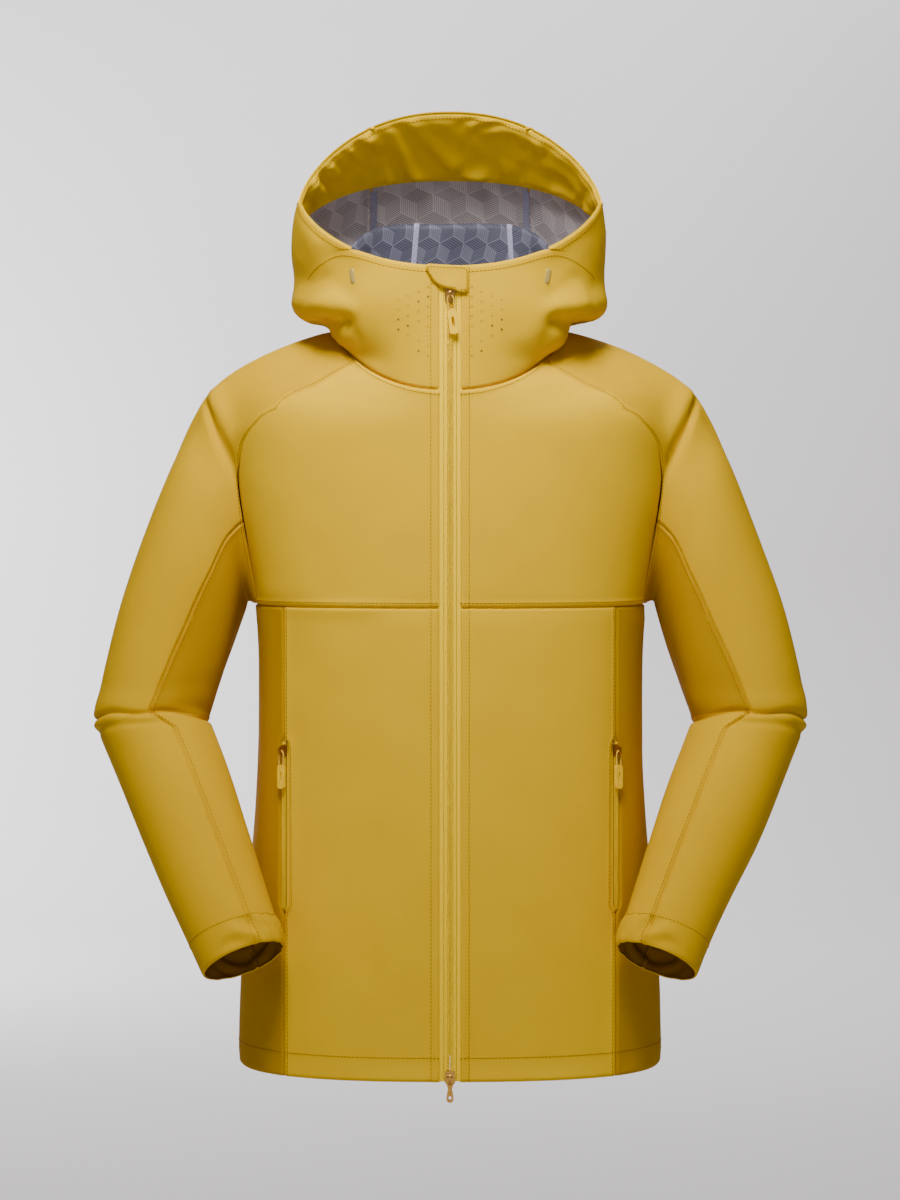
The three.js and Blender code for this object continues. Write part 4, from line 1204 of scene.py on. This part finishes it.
for word in ("Left", "Right"):
    inner, outer = ("left", "right") if word == "Left" else ("right", "left")
    p = panels[f"frontYoke{word}"]
    addStitches("torsoStitches", *edgeLine(p, inner, 9.0))
    addStitches("torsoStitches", *edgeLine(p, "bottom", 4.6))
    addStitches("torsoStitches", *edgeLine(p, "top", 4.6))
    p = panels[f"frontLower{word}"]
    addStitches("torsoStitches", *edgeLine(p, inner, 9.0))
    addStitches("torsoStitches", *edgeLine(p, outer, 4.6))
    addStitches("torsoStitches", *edgeLine(p, "bottom", 23.0))
    p = panels[f"sideFront{word}"]
    addStitches("torsoStitches", *edgeLine(p, "bottom", 23.0))
    p = panels[f"collarFront{word}"]
    addStitches("collarStitches", *edgeLine(p, inner, 9.0))
    p = panels[f"hoodSide{word}"]
    addStitches("hoodStitches", *edgeLine(p, outer, 4.6))
    addStitches("hoodStitches", *edgeLine(p, "top", 6.5))
    addStitches("collarStitches", *edgeLine(panels[f"collarFront{word}"], "top", 6.5))
addStitches("torsoStitches", *edgeLine(panels["backLower"], "bottom", 23.0))
addStitches("torsoStitches", *edgeLine(panels["backYoke"], "bottom", 4.6))
addStitches("hoodStitches", *edgeLine(panels["hoodCentre"], "top", 6.5))
addStitches("brimStitches", *edgeLine(panels["brimFacing"], "top", 5.0))


# A line beside one of the sleeve's long seams.
def sleeveSeamLine(sleeve, strip, offset, fromRow, toRow):
    panel = panels[sleeve]
    grid = panel["grid"][:, :: -panel["side"]]
    _, signed = distanceToTurn(grid, list(upperColumns), strip)
    rows = np.arange(fromRow, toRow)
    columns = grid.shape[1]
    at = []
    for i in rows:
        order = np.argsort(signed[i])
        at.append(np.interp(offset, signed[i][order], order.astype(float)))
    at = np.clip(np.array(at), 0, columns - 1.001)
    if panel["side"] > 0:
        at = columns - 1 - at
    return gridPoint(panel, rows.astype(float), at)


for word in ("Left", "Right"):
    p = panels[f"sleeve{word}"]
    place = p["place"]
    half = int(np.argmin(np.abs(place - 0.7)))
    topRow, cuffRow = len(place) - 1, int(np.argmin(np.abs(place - 1.89)))
    columns = p["grid"].shape[1]
    closed = {"grid": np.concatenate([p["grid"], p["grid"][:, :1]], 1),
              "normals": np.concatenate([p["normals"], p["normals"][:, :1]], 1)}
    for seam, offset in ((1, seamInset), (0, -seamInset)):
        for part, low, high in (("upper", half, topRow), ("lower", 0, half)):
            line = sleeveSeamLine(f"sleeve{word}", seam, offset, low, high)
            addStitches(f"{part}Stitches{word}", *line)
    around = np.arange(columns + 1, dtype=float)
    addStitches(f"lowerStitches{word}", *gridPoint(closed, 0 * around + cuffRow, around))
    away = arcLengths(closed["grid"], 0)
    count = np.arange(len(place))
    raglanRow = [np.interp(seamInset, (line[-1] - line)[::-1], count) for line in away.T]
    addStitches(f"upperStitches{word}", *gridPoint(closed, len(place) - 1 - np.array(raglanRow), around))
print("stitches made")


# Two interlocking rows of rounded coil turns that run up from start.
def toothRow(name, start, up, across, outward, length, pitch, made):
    points, faces = [], []
    count = int(length / pitch)
    for k in range(count):
        for side in (-1, 1):
            middle = start + up * ((k + (0.5 if side > 0 else 0.0)) * pitch) + across * side * 1.35
            lean = up * 0.32 * side
            base = len(points)
            for end, wide in ((-1.75, 0.55), (-1.2, 1.0), (1.2, 1.0), (1.75, 0.55)):
                for turn in range(6):
                    angle = turn * math.pi / 3
                    ring = up * math.cos(angle) * 0.46 + outward * math.sin(angle) * 0.75
                    points.append(middle + (across + lean) * end * side + ring * wide)
            for r in range(3):
                for turn in range(6):
                    a, b = base + r * 6 + turn, base + r * 6 + (turn + 1) % 6
                    faces.append((a, b, b + 6, a + 6) if side > 0 else (a, a + 6, b + 6, b))
            low = tuple(base + t for t in range(6))
            high = tuple(base + 18 + t for t in range(6))
            faces.append(low[::-1] if side > 0 else low)
            faces.append(high if side > 0 else high[::-1])
    return meshPiece(name, np.array(points), faces, [made])


across, outward, up = np.array([1.0, 0, 0]), np.array([0, -1.0, 0]), np.array([0, 0, 1.0])
coilDepth = -126.4
toothRow("zipTeeth", np.array([0, coilDepth + 0.35, -698.0]), up, across, outward, 758, 2.15, coilPlastic)


# One half of the zip's tape, with its woven ribs and the cord sewn along the coil.
def tapeGrid(side):
    z = np.linspace(-701, 64, 300)
    x = np.array([0.4, 1.6, 2.6, 3.4, 3.9, 4.4, 5.2, 5.9, 6.4, 7.0, 7.8, 8.6, 9.4, 11.5])
    ribs = 0.35 * np.cos((x - 3.4) * 2.5) * smoothstep(x, 2.4, 3.4)
    grid = np.zeros((len(z), len(x), 3))
    grid[..., 0] = side * x[None, :]
    grid[..., 1] = -124.9 - ribs[None, :] - 0.5 * smoothstep(x, 9.0, 5.0)[None, :]
    grid[..., 2] = z[:, None]
    return grid if side > 0 else grid[:, ::-1]


for side, word in ((1, "Left"), (-1, "Right")):
    grid = tapeGrid(side)
    laid = np.stack([grid[..., 0], grid[..., 2], 0 * grid[..., 0]], -1)
    shell(f"zipRibbon{word}", grid, 0.7, zipCloth, zipCloth, laid)
    line = np.stack([np.full(300, side * 5.9), np.full(300, -125.75), np.linspace(-700, 62, 300)], -1)
    addStitches("zipStitches", line, np.tile(outward, (300, 1)), 0.3, 0.0, 2.2, 3.0)

# The small flap that the top slider parks under.


# A flat piece of cloth with a soft outline: concentric rings, turned over at its edge.
def cushionPlate(name, outline, middle, depthFront, depthBack, made, bulge=0.6, rings=7, shape=None):
    centre = outline.mean(0)
    points, faces = [], []
    count = len(outline)
    shares = np.linspace(1, 0.12, rings)
    for face, depth in ((0, depthFront), (1, depthBack)):
        for share in shares:
            flat = centre + (outline - centre) * share
            edge = bulge * (1 - share**6)
            y = depth - edge if face == 0 else depth
            for x, z in flat:
                points.append((middle[0] + x, middle[1] + y, middle[2] + z))
    half = rings * count
    for face in (0, 1):
        for r in range(rings - 1):
            for k in range(count):
                a = face * half + r * count + k
                b = face * half + r * count + (k + 1) % count
                quad = (a, b, b + count, a + count)
                faces.append(quad if face == 0 else quad[::-1])
    for k in range(count):
        faces.append((half + k, half + (k + 1) % count, (k + 1) % count, k))
    inner = (rings - 1) * count
    faces.append(tuple(inner + k for k in range(count)))
    faces.append(tuple(half + inner + k for k in reversed(range(count))))
    points = np.array(points)
    if shape is not None:
        points = shape(points)
    laid = points[:, [0, 2, 1]]
    return meshPiece(name, points, faces, [made], cloth=laid)


garageHeight = 52.8
garage = [(8.5, -9.5), (11.5, -10.5), (15.5, -10.5), (17.0, -9.0), (17.0, 13.5), (15.5, 15.0), (4, 15.4)]
garage += [(-14, 16.4), (-21, 17.0), (-23.5, 15.6), (-23.2, 13.2)]
garage += [(-21.0, 9.6), (-18.6, 5.2), (-15.6, 0.6), (-11.6, -3.0), (-6, -5.4), (0, -6.6), (5, -7.8)]


# A closed rounded line through corner points.
def softOutline(points, count=72):
    points = np.array(points, float)
    closed = np.concatenate([points, points[:1]])
    arcs = np.concatenate([[0], np.cumsum(np.linalg.norm(np.diff(closed, axis=0), axis=1))])
    marks = np.linspace(0, arcs[-1], count, endpoint=False)
    line = np.stack([np.interp(marks, arcs, closed[:, i]) for i in range(2)], -1)
    for _ in range(3):
        line = (np.roll(line, 1, 0) + 2 * line + np.roll(line, -1, 0)) / 4
    return line


def garageShape(points):
    lift = 1.6 * hill(points[:, 0], 0, 9) * smoothstep(points[:, 2], garageHeight + 8, garageHeight - 8)
    points[:, 1] -= lift
    return points


outline = softOutline(garage)
cushionPlate("zipCover", outline[::-1], (0, 0, garageHeight), -128.7, -127.6, shellYellow, 0.5, 8,
             garageShape)
edge = softOutline([(x * 0.86 + (1.2 if x > 0 else -1.2), z * 0.8 + 0.6) for x, z in garage])
rise = 1.6 * hill(edge[:, 0], 0, 9) * smoothstep(edge[:, 1], 8, -8)
line = np.stack([edge[:, 0], -129.2 - rise, edge[:, 1] + garageHeight], -1)
addStitches("garageStitches", np.concatenate([line, line[:1]]), np.tile(outward, (73, 1)), 0.3, 0.0, 2.2, 3.1)
makeStitches("garageStitches", threadYellow)
makeStitches("zipStitches", threadYellow)


# A small punched hole: a sunken cup with a soft lip, all in a dark colour that is painted shade in the hole.
def disc(points, faces, place, normal, radius, depth, sides=10):
    normal = normal / np.linalg.norm(normal)
    a = np.cross(normal, [0, 0, 1.0])
    a /= np.linalg.norm(a)
    b = np.cross(normal, a)
    base = len(points)
    for r, h in ((radius * 1.25, 0.02), (radius, 0.14), (radius * 0.8, -depth * 0.1)):
        for k in range(sides):
            t = k * 2 * math.pi / sides
            points.append(place + (a * math.cos(t) + b * math.sin(t)) * r + normal * h)
    for r in range(2):
        for k in range(sides):
            p, q = base + r * sides + k, base + r * sides + (k + 1) % sides
            faces.append((p, p + sides, q + sides, q))
    faces.append(tuple(base + 2 * sides + k for k in range(sides))[::-1])


# The point of a panel seen from the front at x and z.
def placeOn(name, x, z):
    panel = panels[name]
    flat = panel["grid"][..., [0, 2]]
    front = panel["grid"][..., 1] < 40
    off = np.linalg.norm(flat - np.array([x, z]), axis=-1) + np.where(front, 0, 500)
    i, j = np.unravel_index(np.argmin(off), off.shape)
    shift = np.array([x - flat[i, j, 0], 0, z - flat[i, j, 1]])
    return panel["grid"][i, j] + shift, panel["normals"][i, j], off[i, j]


points, faces = [], []
for side, word in ((-1, "Right"), (1, "Left")):
    for x, top, count in ((20.5, 48, 8), (29.5, 43.5, 7), (39.5, 39.5, 6), (48.5, 36, 5)):
        for k in range(count):
            place, n, _ = placeOn(f"collarFront{word}", side * x, top - k * 9.2)
            disc(points, faces, place, n, 0.85, 1.0)
perforations = meshPiece("perforations", np.array(points), faces, [holeDark])
print("zip made")

pocketUp = np.array([0, 0.047388, 0.998877])
for side, word in ((1, "Left"), (-1, "Right")):
    flip = np.array([side, 1.0, 1.0])
    pocketAcross = np.array([0.744972, 0.666346, -0.031612]) * flip
    pocketOut = -np.array([-0.667095, 0.744135, -0.035303]) * flip
    slider = np.array([161.201, -85.042, -390.961]) * flip
    # The rows of teeth lie a little behind the slider's pivot.
    start = slider - pocketUp * 151.0 - pocketOut * 4.0
    toothRow(f"pocketTeeth{word}", start, pocketUp, pocketAcross, pocketOut, 160, 1.9, coilPlastic)

reflectors = []
for side, word in ((1, "Left"), (-1, "Right")):
    spot = (side * 92.0, 59.0)
    found = [placeOn(f"{name}{word}", *spot) for name in ("collarFront", "hoodSide")]
    place, n, _ = min(found, key=lambda f: f[2])
    turnedUp = np.array([0.25 * side, 0, 1.0])
    turnedUp = turnedUp - n * (turnedUp @ n)
    turnedUp /= np.linalg.norm(turnedUp)
    sideways = np.cross(turnedUp, n)
    points, faces = [], []
    for r, h in ((1.0, 0.1), (0.94, 0.75), (0.6, 0.85)):
        for k in range(28):
            t = k * 2 * math.pi / 28
            x, z = 2.6 * math.cos(t), 2.6 * math.sin(t) + math.copysign(5.0, math.sin(t))
            points.append(place + sideways * x * r + turnedUp * z * r + n * h)
    for r in range(2):
        for k in range(28):
            a, b = r * 28 + k, r * 28 + (k + 1) % 28
            faces.append((a, a + 28, b + 28, b) if side else (a, b, b + 28, a + 28))
    faces.append(tuple(56 + k for k in range(28))[::-1])
    made = meshPiece(f"reflectorBar{word}", np.array(points), faces, [reflective])
    reflectors.append(made)


for side, word in ((1, "Left"), (-1, "Right")):
    made = bpy.data.objects
    for name in ("frontYoke", "frontLower", "sideFront", "zipRibbon", "pocketTeeth"):
        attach(made[f"{name}{word}"], "torso")
    upper, lower = f"upper_sleeve_{word.lower()}", f"forearm_{word.lower()}"
    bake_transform(made[f"upperArm{word}"])
    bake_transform(makeStitches(f"upperStitches{word}", threadYellow))
    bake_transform(made[f"lowerArm{word}"])
    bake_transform(makeStitches(f"lowerStitches{word}", threadYellow))
allowances = [f"raglanAllowance{part}{word}" for part in ("Front", "Back") for word in ("Left", "Right")]
for name in ("backLower", "backYoke", "zipTeeth", "zipStitches", "neckAllowance", *allowances):
    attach(bpy.data.objects[name], "torso")
# The flap is sewn down along its hinge, so its edge beyond the hinge stays on the collar.
for name in ("zipCover", "garageStitches"):
    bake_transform(bpy.data.objects[name])
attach(makeStitches("torsoStitches", threadYellow), "torso")
for name in hoodPieces:
    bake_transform(bpy.data.objects[name])
hoodExtras = [makeStitches(n, threadYellow) for n in ("collarStitches", "hoodStitches", "brimStitches")]
hoodExtras += [bpy.data.objects[n] for n in ("brimFacing", "crownTapeLeft", "crownTapeRight", "perforations")]
for made in [*hoodExtras, *reflectors]:
    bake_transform(made)
for name in ("neckStand", "standTapeLeft", "standTapeRight"):
    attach(bpy.data.objects[name], "torso")

stands = {
    "frontYokeLeft": ["front_yoke_left"], "frontYokeRight": ["front_yoke_right"],
    "frontLowerLeft": ["front_lower_left"], "frontLowerRight": ["front_lower_right"],
    "sideFrontLeft": ["side_front_left"], "sideFrontRight": ["side_front_right"],
    "backLower": ["back_lower"], "backYoke": ["back_yoke"],
    "upperArmLeft": ["shoulder_cap_left", "sleeve_outer_left", "sleeve_under_left"],
    "upperArmRight": ["shoulder_cap_right", "sleeve_outer_right", "sleeve_under_right"],
    "lowerArmLeft": ["forearm_outer_left", "forearm_under_left", "cuff_left", "cuff_elastic_left"],
    "lowerArmRight": ["forearm_outer_right", "forearm_under_right", "cuff_right", "cuff_elastic_right"],
    "collarFrontLeft": ["collar_front_left"], "collarFrontRight": ["collar_front_right"],
    "collarBack": ["collar_back"], "hoodSideLeft": ["hood_side_left"], "hoodSideRight": ["hood_side_right"],
    "hoodCentre": ["hood_center"], "brimFacing": ["brim_facing", "brim_stiffener"],
    "neckStand": ["neck_stand"], "zipCover": ["zip_garage"],
    "zipRibbonLeft": ["zip_tape_left"], "zipRibbonRight": ["zip_tape_right"],
    "zipTeeth": ["zip_coil_left", "zip_coil_right"],
    "pocketTeethLeft": ["pocket_coil_left"], "pocketTeethRight": ["pocket_coil_right"],
}
for name, nodes in stands.items():
    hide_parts(*nodes)

nodeFinish = {
    "pocket_tape": zipCloth, "pocket_slider": bronze, "main_slider": bronze, "bottom_slider": bronze,
    "bottom_pull": bronze, "pull_cord": cordYellow, "pull_tab": mouldedYellow, "pocket_bag": standPrint,
    # The hem facing and the storm flap take the dark shell back, which is painted shade.
    "neck_label": bindingCloth, "hang_loop": bindingCloth, "hem_facing": shellBack, "hem_cord": cordYellow,
    "cuff_elastic": innerTrim, "storm_flap": shellBack,
}
for made in frame["nodes"].values():
    for key, finish in nodeFinish.items():
        if key in made.name:
            made.data.materials.clear()
            made.data.materials.append(finish)

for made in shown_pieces():
    "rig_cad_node" not in made and made.data.materials

for name, panel in panels.items():
    if "object" not in panel:
        continue
    grid = panel["grid"]
    wraps = name.startswith(("upperArm", "lowerArm"))
    closed = np.concatenate([grid, grid[:, :1]], 1) if wraps else grid
    wide = arcLengths(closed, 1)[:, -1]
    tall = arcLengths(closed, 0)[-1]
    a = np.cross(closed[:-1, 1:] - closed[:-1, :-1], closed[1:, :-1] - closed[:-1, :-1])
    b = np.cross(closed[1:, 1:] - closed[:-1, 1:], closed[1:, 1:] - closed[1:, :-1])
    area = (np.linalg.norm(a, axis=-1).sum() + np.linalg.norm(b, axis=-1).sum()) / 2e6
    flat = (float(wide.max()) / 1000, float(tall.max()) / 1000)
    area = min(max(area, 0.301 * flat[0] * flat[1]), flat[0] * flat[1])
    panel["flat"] = flat
    "stretched" if "brim" in name else "hung"
    print("sheet", name, round(flat[0], 3), round(flat[1], 3), round(area, 4))


def roomMaterial():
    made, tree, shader = material("roomPaint", 0.9)
    place = node(tree, "ShaderNodeTexCoord", {}, output=3)
    soft = noise(tree, place, 0.6, 1.0).step(0.2, 0.8)
    plug(tree, mixColor(tree, soft, color(208, 204, 206), color(200, 196, 198)), shader.inputs["Base Color"])
    return made


# A pale floor that curves up into a wall.
def sweep():
    profile = [(-4.0, -1.25), (4.8, -1.25)]
    for k in range(13):
        angle = math.radians(-90 + 90 * k / 12)
        profile.append((4.8 + 0.9 * math.cos(angle), -0.35 + 0.9 * math.sin(angle)))
    profile.append((5.7, 5.5))
    points = [(x, y, z) for x in (-5.0, 5.0) for y, z in profile]
    count = len(profile)
    faces = [(k, count + k, count + k + 1, k + 1) for k in range(count - 1)]
    mesh = bpy.data.meshes.new("backdrop")
    mesh.from_pydata(points, [], faces)
    mesh.polygons.foreach_set("use_smooth", [True] * len(mesh.polygons))
    mesh.materials.append(roomMaterial())
    made = bpy.data.objects.new("backdrop", mesh)
    scene.collection.objects.link(made)


sweep()


def lamp(name, place, target, size, power, tint=(1, 1, 1), sizeY=None):
    data = bpy.data.lights.new(name, "AREA")
    data.energy = power
    data.color = tint
    data.shape = "RECTANGLE"
    data.size = size
    data.size_y = sizeY or size
    made = bpy.data.objects.new(name, data)
    made.location = place
    made.rotation_euler = (Vector(target) - Vector(place)).to_track_quat("-Z", "Y").to_euler()
    scene.collection.objects.link(made)
    return made


lamp("keyLight", (-0.15, -1.25, 1.75), (0, 0, -0.1), 0.8, 58, (1.0, 0.99, 0.97))
lamp("fillLeft", (-2.6, -2.0, 0.3), (0, 0, -0.3), 1.6, 5)
lamp("fillRight", (2.6, -2.0, 0.3), (0, 0, -0.3), 1.6, 4)
lamp("lowFill", (0, -3.0, -0.7), (0, 0, 0.1), 1.0, 9)
lamp("wallLight", (-2.6, 3.6, 0.0), (-1.7, 5.7, -0.3), 0.8, 150)
lamp("wallWash", (0.6, 3.6, 3.4), (0.2, 5.7, -0.4), 2.4, 240)
chestLight = lamp("chestLight", (-0.1, -1.0, 1.0), (0, 0, 0.06), 0.4, 1.5, (1.0, 0.99, 0.95))
chestLight.data.spread = math.radians(50)
lamp("floorLight", (-2.4, 3.0, 0.6), (-1.4, 4.0, -1.2), 1.2, 60)
world = bpy.data.worlds.new("room")
world.use_nodes = True
world.node_tree.nodes["Background"].inputs[0].default_value = (0.92, 0.93, 0.95, 1)
world.node_tree.nodes["Background"].inputs[1].default_value = 0.12
scene.world = world

eye = bpy.data.cameras.new("eye")
eye.lens = 91.8
eye.sensor_width = 36
eye.clip_end = 50
camera = bpy.data.objects.new("eye", eye)
camera.location = (0, -3.0, -0.140)
scene.collection.objects.link(camera)
scene.camera = camera
camera.rotation_euler = (Vector((0, 0, -0.250)) - camera.location).to_track_quat("-Z", "Y").to_euler()
print("room made")
